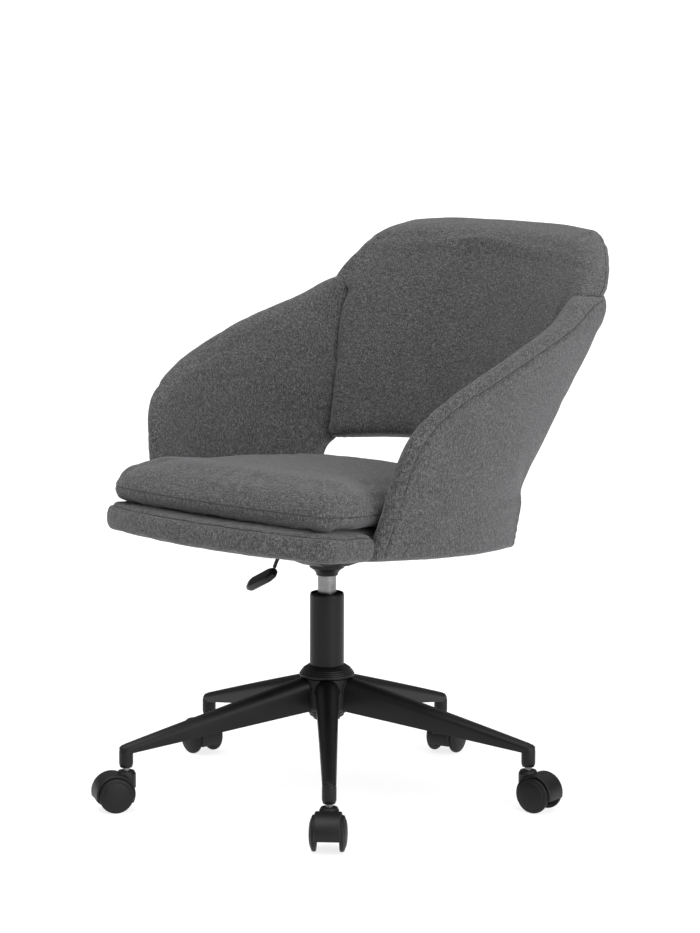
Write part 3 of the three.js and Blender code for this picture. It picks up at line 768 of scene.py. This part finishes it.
def arm_seam(side):
    """The seam on the outer face, where the inner cloth, wrapped over the edge, ends."""
    ahead = np.gradient(ARM_EDGE, axis=0)
    ahead /= np.linalg.norm(ahead, axis=1)[:, None]
    inward = np.stack([ahead[:, 1], -ahead[:, 0]], axis=1)
    share = np.linspace(0, 1, len(ARM_EDGE))
    width = 15 + 6 * ease((share - 0.5) / 0.2) - 13 * ease((share - 0.8) / 0.18)
    spots = ARM_EDGE + inward * width[:, None]
    spots = spots[(spots[:, 1] > 412) & (spots[:, 0] < 348)]
    y, z = spots[:, 0], spots[:, 1]
    x = arm_x(y, z) + ARM_THICK / 2 + arm_swell(y, z)
    return np.stack([side * x, y, z], axis=1)


def opening_cut(y, z):
    """How far the inner face is cut back where the opening under the back meets the arm, on the slant."""
    rise = unit((z - 478) / 27.5)
    start = 223 - 40 * np.sqrt(1 - rise ** 2)
    ends = unit((z - 452) / 8) * unit((506 - z) / 3)
    return np.clip(y - start, 0, None) / 1.7 * ends


def arm_pad(name, side):
    shrink = 0.8

    def inner(y, z):
        whole = arm_x(y, z) - ARM_THICK / 2 + shrink - 7 * ease((y - 120) / 120) * ease((z - 520) / 60)
        return np.minimum(whole + opening_cut(y, z), outer(y, z) - 3)

    def outer(y, z):
        return arm_x(y, z) + ARM_THICK / 2 + arm_swell(y, z) - shrink

    def place(y, z, x):
        """The inner cloth rises in a rounded lobe where the panel's top end meets the back."""
        share = unit((outer(y, z) - x) / (outer(y, z) - inner(y, z)))
        lobe = ease((y - 205) / 75) * ease((z - 690) / 60) * (1 - 0.5 * ease((y - 320) / 40))
        return np.stack([side * x, y, z + 13 * share * lobe], axis=-1)

    grid = arm_grid()
    grid[..., 0] += 2.2 * ease((grid[..., 0] - 150) / 60)
    shoulder = unit((grid[..., 0] - 150) / 180) ** 1.5
    rim = 0.55 + 0.2 * shoulder
    made = slab(grid, place, outer, inner, rim, (8, 17 + 14 * shoulder, 14, 5), (7, 14 - 3 * shoulder, 13, 5))
    heights = np.linspace(386, 452, 80)
    corner = rear_edge_y(heights) - 5
    rear_seam = np.stack([side * outer(corner, heights), corner, heights], axis=1)
    return Pad(name, made, 2.5, 2.5, [along(arm_seam(side), np.linspace(0, 1, 300)), rear_seam])


BACK_LOW, BACK_TOP = 508, 858
SHOULDER_HEIGHTS = (750, 765, 777, 797, 818, 834, 846, 852)  # above the arms, where the pad is seen whole
SHOULDER_HALVES = (261, 259, 256, 248, 237, 224.5, 208, 191)  # half its width at those heights


def back_front_y(z):
    return np.where(z < 800, 235 + (z - 510) * 0.415, 355.4 + (z - 800) * 0.3)


def back_wrap(z):
    return 0.00118 - 1.9e-11 * (z - BACK_LOW) ** 3


def back_thick(z):
    return 40 + (z - BACK_LOW) * 22 / (BACK_TOP - BACK_LOW)


def back_half(z):
    """Half the back pad's width: up to the arm panels, and above them its own outline."""
    z = np.asarray(z, float)
    face = back_front_y(z) + 8
    room = face
    for _ in range(12):
        half = arm_x(room, z) - ARM_THICK / 2 - 2.6 - 6.5 * ease((room - 120) / 120)
        room = face - back_wrap(z) * half * half
    own = np.interp(z, SHOULDER_HEIGHTS, SHOULDER_HALVES)
    return half + (own - half) * ease((z - 736) / 14)


def back_grid():
    """The back pad's outline from the front, as a grid of (x, z)."""
    heights = np.concatenate([np.linspace(BACK_LOW + 8, 790, 90), np.linspace(793, 853, 40)])
    half = back_half(heights)
    right = np.stack([half, heights], axis=1)
    left = right * (-1, 1)
    spots = np.linspace(-1, 1, 60)
    top = np.stack([spots * half[-1], BACK_TOP - 4 * abs(spots) ** 3], axis=1)
    low = np.stack([spots * half[0], BACK_LOW - 2 + 12 * (1 - spots ** 2) + 5 * spots ** 8], axis=1)
    low[0], low[-1], top[0], top[-1] = left[0], right[0], left[-1], right[-1]
    return patch(low, top, left, right, 108, 96)


def back_pad():
    shrink = 1.5

    def front(x, z):
        return back_front_y(z) - back_wrap(z) * x * x + shrink

    def rear(x, z):
        flatter = 0.4 * back_wrap(z) * unit((z - 715) / 50)
        return front(x, z) + back_thick(z) - 2 * shrink + flatter * x * x

    def place(x, z, y):
        """The pad draws in towards the rear, and its upper corners drop."""
        deep = unit((y - front(x, z)) / 60)
        corner = deep * ease((z - 770) / 60)
        drop = 5 * corner * ease((abs(x) - 110) / 90)
        return np.stack([x * (1 - 0.03 * deep * ease((z - 700) / 40) - 0.012 * corner), y, z - drop], axis=-1)

    grid = back_grid()
    made = slab(grid, place, front, rear, 0.8, (16, 30, 17, 17), (9, 12, 7, 7), 2.6)
    return Pad("backrest_cover", made, 4.0, 3.0, back_seams(front, rear, grid))


def back_seams(front, rear, grid):
    """The seam round the pad's rear edge."""
    x, z = around(grid, 500)
    y = front(x, z) + (rear(x, z) - front(x, z)) * 0.8
    return [np.stack([x, y, z], axis=1)]


# ------------------------------------------------------------------ seat base and cushion
def tilted(x, y, z):
    """From the seat's own frame, whose plane dips towards the back, to the chair's."""
    turn = -math.atan(SEAT_TILT)
    return np.stack([x + 0 * y, y * math.cos(turn) - z * math.sin(turn),
                     y * math.sin(turn) + z * math.cos(turn) + SEAT_Z], axis=-1)


def plan_grid(half_outline, across, up):
    """A grid over a plan that mirrors about x = 0. half_outline runs along +X from the front's middle to
    the rear's middle, as (front, side, rear) polylines."""
    front, side, rear = (np.asarray(part, float) for part in half_outline)
    mirror = np.array([-1, 1])
    low = np.vstack([(front * mirror)[::-1][:-1], front])
    high = np.vstack([rear * mirror, rear[::-1][1:]])
    return patch(low, high, side * mirror, side, across, up)


def split_outline(outline, first, second):
    """An outline cut at two shares of its length into three polylines."""
    fine = along(outline, np.linspace(0, 1, 401))
    a, b = int(400 * first), int(400 * second)
    return fine[: a + 1], fine[a : b + 1], fine[b:]


def inner_x(y, lift, room):
    return float(arm_x(y, SEAT_Z - SEAT_TILT * y + lift)) - ARM_THICK / 2 - room


def cushion_pad():
    """The seat cushion: a deep crowned top sewn to a shallow bottom band."""
    outline = eased([
        (0, -271), (70, -269, 40), (130, -264, 40), (182, -255, 30), (225, -243, 50), (226.5, -170, 20),
        (216, -136, 20), (inner_x(-80, 60, 12), -80, 30), (inner_x(0, 60, 6), 0, 40),
        (inner_x(90, 60, 5), 90, 40), (inner_x(140, 60, 5), 140, 22),
        (inner_x(160, 60, 5) - 26, 172, 30), (90, 194, 60), (0, 200)], 20, 8)
    grid = plan_grid(split_outline(outline, 0.285, 0.74), 96, 88)
    bottom, top = 44.0, 103.5
    rim = 0.64

    def upper(x, y):
        crown = (1 - unit(abs(x) / 240) ** 2.5) * (1 - unit(abs(y + 30) / 235) ** 4)
        roll = np.exp(-(((y + 205) / 42) ** 2)) * (1 - unit(abs(x) / 235) ** 4)
        return top + 3.5 * crown + 3 * roll + 2 * ease((y - 20) / 120)

    def lower(x, y):
        return bottom + 0 * x

    made = slab(grid, tilted, upper, lower, rim, (42, 22, 26, 26), 15, 2.5)
    x, y = around(grid, 700)
    seam = tilted(x, y, upper(x, y) + rim * (bottom - upper(x, y)))
    return Pad("seat_cushion_cover", made, 7.0, 4.5, [seam])


def base_outline():
    room = 1.6
    return eased([
        (0, -287), (70, -284, 40), (130, -277, 40), (188, -264, 30), (235, -246, 50), (235, -170, 10),
        (233.5, -149.5, 5),
        (inner_x(-138, 20, room), -148, 4), (inner_x(-90, 20, room), -90, 30), (inner_x(0, 20, room), 0, 40),
        (inner_x(90, 20, room), 90, 40), (inner_x(165, 20, room), 165, 12), (90, 182, 60), (0, 186)], 16, 8)


BOARD_HALF, BOARD_FRONT, BOARD_REAR = 167, -202, 122


def base_pad():
    """The upholstered seat base, hollowed underneath for the board and its cloth cover."""
    grid = plan_grid(split_outline(base_outline(), 0.275, 0.76), 84, 76)

    def upper(x, y):
        return 41 + 0 * x

    def lower(x, y):
        inside = (BOARD_HALF - abs(x), y - BOARD_FRONT, BOARD_REAR - y)
        gap = np.minimum(np.minimum(inside[0], inside[1]), inside[2])
        return 0.3 + 14.3 * unit((gap - 1) / 3)

    made = slab(grid, tilted, upper, lower, 0.5, 20, 10)
    inset = 0.975
    x, y = around(grid * inset, 700)
    seam = tilted(x, y, 36.5 + 0 * x)
    pad = Pad("seat_base_cover", made, 3.5, 3.0, [seam])
    pad.pinned.update(i for i, point in enumerate(made[0][0]) if in_hollow(point))
    return pad


def in_hollow(point):
    """True on the seat base's underside, where the cloth is stapled flat."""
    x, y, z = point
    above = z - SEAT_Z + SEAT_TILT * y
    return above < 24 and abs(x) < BOARD_HALF + 25 and BOARD_FRONT - 25 < y < BOARD_REAR + 25


def rail_pad():
    """The padded rail that closes the tub behind the cushion."""
    low, high = 385.0, 452.0

    def half(z):
        y = rear_edge_y(z) - 22
        return arm_x(y, z) - ARM_THICK / 2 - 2

    heights = np.linspace(low, high, 20)
    right = np.stack([half(heights), heights], axis=1)
    spots = np.linspace(-1, 1, 50)
    bottom = np.stack([spots * half(low), low + 0 * spots], axis=1)
    top = np.stack([spots * half(high), high + 2 * (1 - spots ** 2)], axis=1)
    grid = patch(bottom, top, right * (-1, 1), right, 92, 20)

    def outer(x, z):
        return rear_edge_y(z) - 22 + 48 * (1 - unit(abs(x) / half(z)) ** 2) - 0.5

    def inner(x, z):
        return outer(x, z) - 15.5

    def place(x, z, y):
        return np.stack([x, y, z], axis=-1)

    made = slab(grid, place, outer, inner, 0.5, (7, 8, 5, 5), (7, 8, 5, 5))
    return Pad("rear_rail_cover", made, 2.0, 2.5, [])


def upholstery():
    pads = {
        "seat_cushion": (cushion_pad(), 0.8),
        "seat_base": (base_pad(), 0.9),
        "arm_left": (arm_pad("arm_left_cover", -1), 0.9),
        "arm_right": (arm_pad("arm_right_cover", 1), 0.9),
        "backrest": (back_pad(), 0.85),
        "rear_rail": (rail_pad(), 0.9),
    }
    for pad, _ in pads.values():
        pad.add_cloth()
    for step in range(1, SIM_FRAMES + 1):
        scene.frame_set(step)
    for pad, _ in pads.values():
        pad.take_cloth()
    scene.frame_set(1)
    for node, (pad, fill) in pads.items():
        pad.subdivide()
        pad.soften()
        pad.sew()
        if pad.seams:
            seam_thread(node + "_seam", pad)
        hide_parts(node)
        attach(pad.obj, "seat")
    for word, side in (("left", -1), ("right", 1)):
        joint_thread(f"back_joint_{word}", pads[f"arm_{word}"][0], pads["backrest"][0], side)


# ------------------------------------------------------------------ base, casters and column
def leg_angle(k):
    return FIRST_LEG - math.pi / 2 + 2 * math.pi * k / LEGS


def leg_section(x):
    """At x: the share of the leg's length, its lower edge, its crown and half its width."""
    t = (x - 37) / 280
    return t, 132 - 46 * t, 184 - 83 * t, 18 - 7.6 * min(t, 1)


def leg_mesh():
    """One leg along +X: an arched channel that tapers to a round socket with a chamfered mouth."""
    rings = []
    tip = 10.2
    stations = [*np.linspace(29, STEM_RADIUS, 40), *(STEM_RADIUS + tip * np.sin(np.linspace(0.2, 1.5, 10)))]
    for x in stations:
        t, low, crown, half = leg_section(x)
        high = min(crown + 3.0 * t * (1 - t), 184)
        wall = 3.0
        if x > STEM_RADIUS:
            half = max(math.sqrt(tip ** 2 - (x - STEM_RADIUS) ** 2), 0.8)
            wall = 0.25 * half
            high -= (x - STEM_RADIUS) * 0.16
        spring = high - half * 0.95
        outer = [(x, half * 0.86, low), (x, half * 0.9, low + 2)]
        arch = [(x, half * math.cos(a), spring + (high - spring) * math.sin(a))
                for a in np.linspace(0, math.pi, 21)]
        outer += arch + [(x, -half * 0.9, low + 2), (x, -half * 0.86, low)]
        ceiling = [(x, -(half - wall) * math.cos(a), spring - wall + (high - spring - 4) * math.sin(a))
                   for a in np.linspace(0, math.pi, 11)]
        inner = [(x, -(half * 0.86 - wall), low)] + ceiling + [(x, half * 0.86 - wall, low)]
        rings.append(outer + inner)
    channel = lofted(rings)
    profile = eased([(0, 96.4), (7, 96, 2), (10.6, 91, 3), (10.6, 70, 2), (8.9, 65, 1.2),
                     (7.9, 65.2, 0.3), (7.9, 95), (0, 95.2)], 1.0, 4)
    socket = moved(turned(profile, 40), Matrix.Translation((STEM_RADIUS, 0, 0)))
    ribs = []
    for x in (90, 145, 200, 250):
        _, low, crown, half = leg_section(x)
        half, top = half - 2.5, crown - 9
        plate = [[(x + side, -half * 0.86, low + 4), (x + side, half * 0.86, low + 4),
                  (x + side, half * 0.8, top - 6), (x + side, -half * 0.8, top - 6)] for side in (-1.2, 1.2)]
        ribs.append(lofted(plate))
    return merged(channel, socket, *ribs)


def hub_mesh():
    """The hub: a drum that steps in twice underneath, with a shallow arch round each leg's root."""
    drum = turned_ring([
        (26.3, 131), (13, 131, 0.4), (13, 117.2, 0.4), (20.4, 117.2, 1.2), (21.4, 121.6, 1.2),
        (26, 122.4, 1.2), (27.2, 127.4, 1.2), (30.4, 128.4, 1.2), (31.6, 133.2, 1.5), (34.8, 134.4, 2),
        (36.2, 138.5, 1.5), (36.6, 182.5, 1.5), (33, 184, 1), (26.3, 184)])
    arches = []
    for k in range(LEGS):
        turn = spin(leg_angle(k), "Z")
        ring = []
        for a in np.linspace(-0.25, math.pi + 0.25, 33):
            y, z = 19.2 * math.cos(a), 164.6 + 17.6 * math.sin(a)
            x = math.sqrt(max(36.6 ** 2 - y * y, 0)) + 0.2
            ring.append((x, y, z))
        arches.append(moved(tube(ring, 1.3, 8), turn))
    return merged(drum, *arches)


def base():
    hub = mesh_object("base_hub_casting", *hub_mesh(), PAINT, "painted", 50)
    stands_for(hub, "base_hub", "base")
    ring = turned_ring([
        (26.3, 184.5), (41.2, 184.5, 0.5), (42, 185.6, 0.8), (42, 188.4, 0.8), (40.6, 189.6, 0.5),
        (40.2, 191.2, 0.5), (38.6, 192.2, 0.5), (38.2, 193.8, 0.5), (36.4, 194.9, 0.5), (36, 196.3, 0.5),
        (33, 198.3, 1.5), (28.4, 201.3, 1.2), (26.3, 201.5, 0.4)])
    collar = mesh_object("hub_collar_cover", *ring, NYLON, "plastic", 50)
    stands_for(collar, "hub_collar", "base")
    leg = leg_mesh()
    for k in range(LEGS):
        turn = spin(leg_angle(k), "Z")
        obj = mesh_object(f"base_leg_{k + 1}_casting", *moved(leg, turn), PAINT, "painted", 42)
        stands_for(bevelled(obj, 0.7, 2, 42), f"base_leg_{k + 1}", "base")
        refined(f"stem_bush_{k + 1}", "base", NYLON, "plastic", 0.3)


def wheel_mesh(side):
    """A wheel with a rounded tread and a shallow domed disc, ringed by a groove."""
    profile = eased([
        (0, 28), (9, 27.7, 3), (15.8, 26.8, 4), (20.5, 25.4, 1.5), (21.3, 24.3, 0.5), (22.2, 24.6, 0.5),
        (25.6, 23.2, 1.4), (26.5, 21.4, 1.2), (26.5, 18.8, 1), (25.6, 17.1, 0.6), (20, 17.1, 0.8),
        (19.2, 19, 0.6), (9, 19, 0.8), (8, 17.1, 0.6), (3.3, 17.1, 0.3), (3.3, 24.4, 0.3), (0, 24.5)], 1.0, 4)
    turn = spin(-side * math.pi / 2, "X")
    return moved(turned(profile, 72), Matrix.Translation((CASTER_TRAIL, 0, WHEEL_RADIUS)) @ turn)


def hood_object():
    """The caster's hood, made once: a fender over both wheels, a web between them and a boss for the stem."""
    across = spin(math.pi / 2, "X")
    centre = Matrix.Translation((CASTER_TRAIL, 0, WHEEL_RADIUS + 1.2)) @ across
    axle = Matrix.Translation((CASTER_TRAIL, 0, WHEEL_RADIUS)) @ across
    drum = eased([(0, -19.5), (28.2, -19.5, 0.5), (30, -18.4, 1.6), (30, 18.4, 1.6), (28.2, 19.5, 0.5),
                  (0, 19.5)], 1.0, 4)
    boss = eased([(0, 34), (14.5, 34), (14.5, 55.5, 1.4), (13, 57.8, 1), (12.2, 59.9, 1), (0, 60.5)], 1.0, 4)
    shapes = {
        "drum": moved(turned(drum, 96), centre),
        "boss": turned(boss, 64),
        "well_1": moved(turned([(0, 16.7), (27.6, 16.7), (27.6, 30), (0, 30)], 96), centre),
        "well_2": moved(turned([(0, -30), (27.6, -30), (27.6, -16.7), (0, -16.7)], 96), centre),
        "axle": moved(turned([(0, -30), (3.3, -30), (3.3, 30), (0, 30)], 24), axle),
        "stem": turned([(0, 41.7), (5.8, 41.7), (5.8, 70), (0, 70)], 32),
        "below": lofted([[(-40, y, -30), (80, y, -30), (80, y, 24.5), (-40, y, 10)] for y in (-30, 30)]),
    }
    pieces = {name: mesh_object("caster_" + name, *mesh, NYLON, "plastic") for name, mesh in shapes.items()}
    hood = pieces.pop("drum")
    for name, piece in pieces.items():
        boolean = hood.modifiers.new(name, "BOOLEAN")
        boolean.operation = "UNION" if name == "boss" else "DIFFERENCE"
        boolean.object = piece
        boolean.solver = "EXACT"
    apply_modifiers(hood)
    for piece in pieces.values():
        bpy.data.objects.remove(piece)
    hood.data.materials.clear()
    hood.data.materials.append(NYLON)
    smooth(hood.data, 35)
    return hood


def casters():
    hood = hood_object()
    for k in range(LEGS):
        away = leg_angle(k)
        spot = (STEM_RADIUS * math.cos(away), STEM_RADIUS * math.sin(away), 0)
        stand = Matrix.Translation(spot) @ spin(away + CASTER_TURNS[k], "Z")
        n, body = k + 1, f"caster_{k + 1}"
        shell = bpy.data.objects.new(f"caster_hood_{n}_shell", hood.data.copy())
        scene.collection.objects.link(shell)
        shift = Matrix.Translation(COLUMN)
        scaled = Matrix.Translation(Vector(spot) * MM) @ spin(away + CASTER_TURNS[k], "Z")
        shell.data.transform(shift @ scaled @ shift.inverted())
        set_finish(shell, "plastic")
        stands_for(bevelled(shell, 0.45, 2, 40), f"caster_hood_{n}", body)
        for side, word in ((1, "left"), (-1, "right")):
            name = f"wheel_{word}_{n}"
            wheel = mesh_object(name + "_tyre", *moved(wheel_mesh(side), stand), TREAD, "wheel", 45)
            stands_for(wheel, name, name)
        refined(f"caster_stem_{n}", body, STEEL, "steel", 0.5)
        refined(f"caster_axle_{n}", body, STEEL, "steel", 0.4)
    bpy.data.objects.remove(hood)


def column():
    ring = turned_ring([
        (13, 131.3), (25.2, 131.3, 0.5), (26, 132.4, 0.6), (26, 309.5, 2), (25, 312.4, 1.2), (23.9, 313, 0.5),
        (23.4, 312, 0.4), (23.4, 135.5), (13, 135.5)], 5)
    outer = mesh_object("gas_outer_tube_painted", *ring, PAINT, "painted", 50)
    stands_for(outer, "gas_outer_tube", "base")
    ring = turned_ring([
        (5.3, 165), (13.4, 165, 0.4), (14, 165.8, 0.4), (14, 342, 3), (12.6, 371.2, 0.4), (11.8, 372, 0.4),
        (3.9, 372, 0.3), (3.9, 354), (11, 354), (11, 171), (5.3, 171)], 3)
    inner = mesh_object("gas_cylinder_ground", *ring, STEEL, "steel", 40)
    stands_for(inner, "gas_cylinder", "seat")
    ring = turned_ring([
        (14.3, 222), (23.1, 222, 0.4), (23.1, 309, 0.5), (21.5, 310, 0.6), (17.5, 308.6, 0.8),
        (14.9, 309.6, 0.5), (14.3, 309)])
    guide = mesh_object("column_guide_bush_moulded", *ring, NYLON, "plastic", 50)
    stands_for(guide, "column_guide_bush", "base")
    for node, body, width in (("thrust_bearing", "base", 0.3), ("piston_rod", "rod", 0.3),
                              ("rod_clip", "rod", 0.2), ("release_pin", "pin", 0.3)):
        refined(node, body, STEEL, "steel", width)


# ------------------------------------------------------------------ mechanism and lever
LEVER_Z = 381.2
LEVER_END = (-111, -44)  # x, and height above the lever's pivot
PADDLE_DROOP, PADDLE_TWIST = 0.48, 0.75  # radians


def lever():
    route = curve_through([(2, 0, LEVER_Z), (-30, 0, LEVER_Z), (-66, 0, LEVER_Z - 1), (-88, 0, LEVER_Z - 9),
                           (-104, 0, LEVER_Z - 30), (LEVER_END[0], 0, LEVER_Z + LEVER_END[1])], 60)
    rod = mesh_object("lever_rod_bent", *tube(route, 2.9, 24), PAINT, "painted", 60)
    stands_for(rod, "lever_rod", "lever")
    rings = []
    for x, half, thick, lift in ((0, 6.4, 4.6, 0), (2, 8.4, 5.8, 0), (10, 12.6, 6.4, 0), (15, 13.8, 6.5, 0),
                                 (52, 13.8, 6.2, -0.3), (58, 11.4, 5.2, -0.8), (62.4, 8.6, 3.8, -1.2),
                                 (64, 6.4, 2.4, -1.4)):
        outline = eased([(half, -thick * 0.35), (half * 0.62, -thick), (-half * 0.62, -thick),
                         (-half, -thick * 0.35), (-half, thick * 0.35), (-half * 0.62, thick),
                         (half * 0.62, thick), (half, thick * 0.35)], 1.3, 3, True)
        rings.append([(x, y, z + lift) for y, z in outline])
    turn = Matrix.Translation((LEVER_END[0] + 1, 0, LEVER_Z + LEVER_END[1] - 7.5))
    droop = spin(math.pi - PADDLE_DROOP, "Y") @ spin(-PADDLE_TWIST, "X")
    plate = moved(lofted(rings), turn @ droop)
    paddle = mesh_object("lever_paddle_moulded", *plate, GLOSSY, "plastic", 30)
    stands_for(bevelled(paddle, 0.5, 2, 30), "lever_paddle", "lever")


def mechanism():
    refined("mechanism_housing", "seat", PAINT, "painted", 1.0)
    for k in range(1, 5):
        refined(f"seat_bolt_{k}", "seat", STEEL, "steel", 0.4)
    refined("seat_board", "seat", WOOD, "wood", 0.6)
    refined("dust_cover", "seat", LINING, "lining", 0.2)


# ------------------------------------------------------------------ stage
def camera():
    def chair(x, y, z):
        """From the camera's own ground frame to the row frame, in metres."""
        cos, sin = math.cos(CAMERA_TURN), math.sin(CAMERA_TURN)
        return Vector((x * cos - y * sin, x * sin + y * cos, z))

    eye = bpy.data.objects.new("camera", bpy.data.cameras.new("camera"))
    scene.collection.objects.link(eye)
    eye.data.lens = LENS
    eye.data.sensor_width = 36
    eye.location = chair(0, -CAMERA_DISTANCE * MM, CAMERA_HEIGHT * MM) + Vector(COLUMN)
    aim = chair(math.cos(CAMERA_PITCH) * math.sin(CAMERA_SWING),
                math.cos(CAMERA_PITCH) * math.cos(CAMERA_SWING), -math.sin(CAMERA_PITCH))
    turn = aim.to_track_quat("-Z", "Y").to_matrix().to_4x4() @ spin(CAMERA_ROLL, "Z")
    eye.rotation_euler = turn.to_euler()
    scene.camera = eye


def sun(name, place, spread, power):
    """A broad soft light from the direction of place, spread radians wide."""
    lamp = bpy.data.lights.new(name, "SUN")
    lamp.angle = spread
    lamp.energy = power
    obj = bpy.data.objects.new(name, lamp)
    obj.location = place
    obj.rotation_euler = (-Vector(place)).to_track_quat("-Z", "Y").to_euler()
    scene.collection.objects.link(obj)


def studio():
    """Dim walls under a bright ceiling, as a world."""
    world = bpy.data.worlds.new("studio")
    scene.world = world
    world.use_nodes = True
    nodes, links = world.node_tree.nodes, world.node_tree.links
    place = nodes.new("ShaderNodeTexCoord")
    height = nodes.new("ShaderNodeSeparateXYZ")
    ramp = nodes.new("ShaderNodeValToRGB")
    links.new(place.outputs["Generated"], height.inputs[0])
    links.new(height.outputs["Z"], ramp.inputs[0])
    links.new(ramp.outputs[0], nodes["Background"].inputs["Color"])
    bar = ramp.color_ramp
    for position, level in ((0.012, 1.3), (0.03, 0.1), (0.35, 0.12)):
        bar.elements.new(position).color = (level, level, level, 1)
    bar.elements[0].color = (1.3, 1.3, 1.3, 1)
    bar.elements[-1].color = (1.2, 1.2, 1.19, 1)


def stage():
    studio()
    half = 900 / MM
    floor = mesh_object("floor", [(-half, -half, 0), (half, -half, 0), (half, half, 0), (-half, half, 0)],
                        [(0, 1, 2, 3)], floor_material(), "painted")
    del floor["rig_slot"]
    sun("key", (3.4, -0.3, 1.3), 0.9, 1.95)
    sun("top", (0.0, -1.0, 3.0), 0.8, 1.35)
    scene.view_settings.view_transform = "Standard"


def floor_material():
    graph = Graph("floor")
    cloud = graph.noise(0.6, 2.0)
    colour = graph.ramp(cloud, (0.3, (0.34, 0.34, 0.34)), (0.7, (0.36, 0.36, 0.36)))
    return graph.finish(colour, 0.9, graph.bump(graph.noise(0.004), 0.05, 0.0005),
                        Emission_Color=(1, 1, 1, 1), Emission_Strength=0.8)


stage()
camera()
upholstery()
base()
casters()
column()
mechanism()
lever()
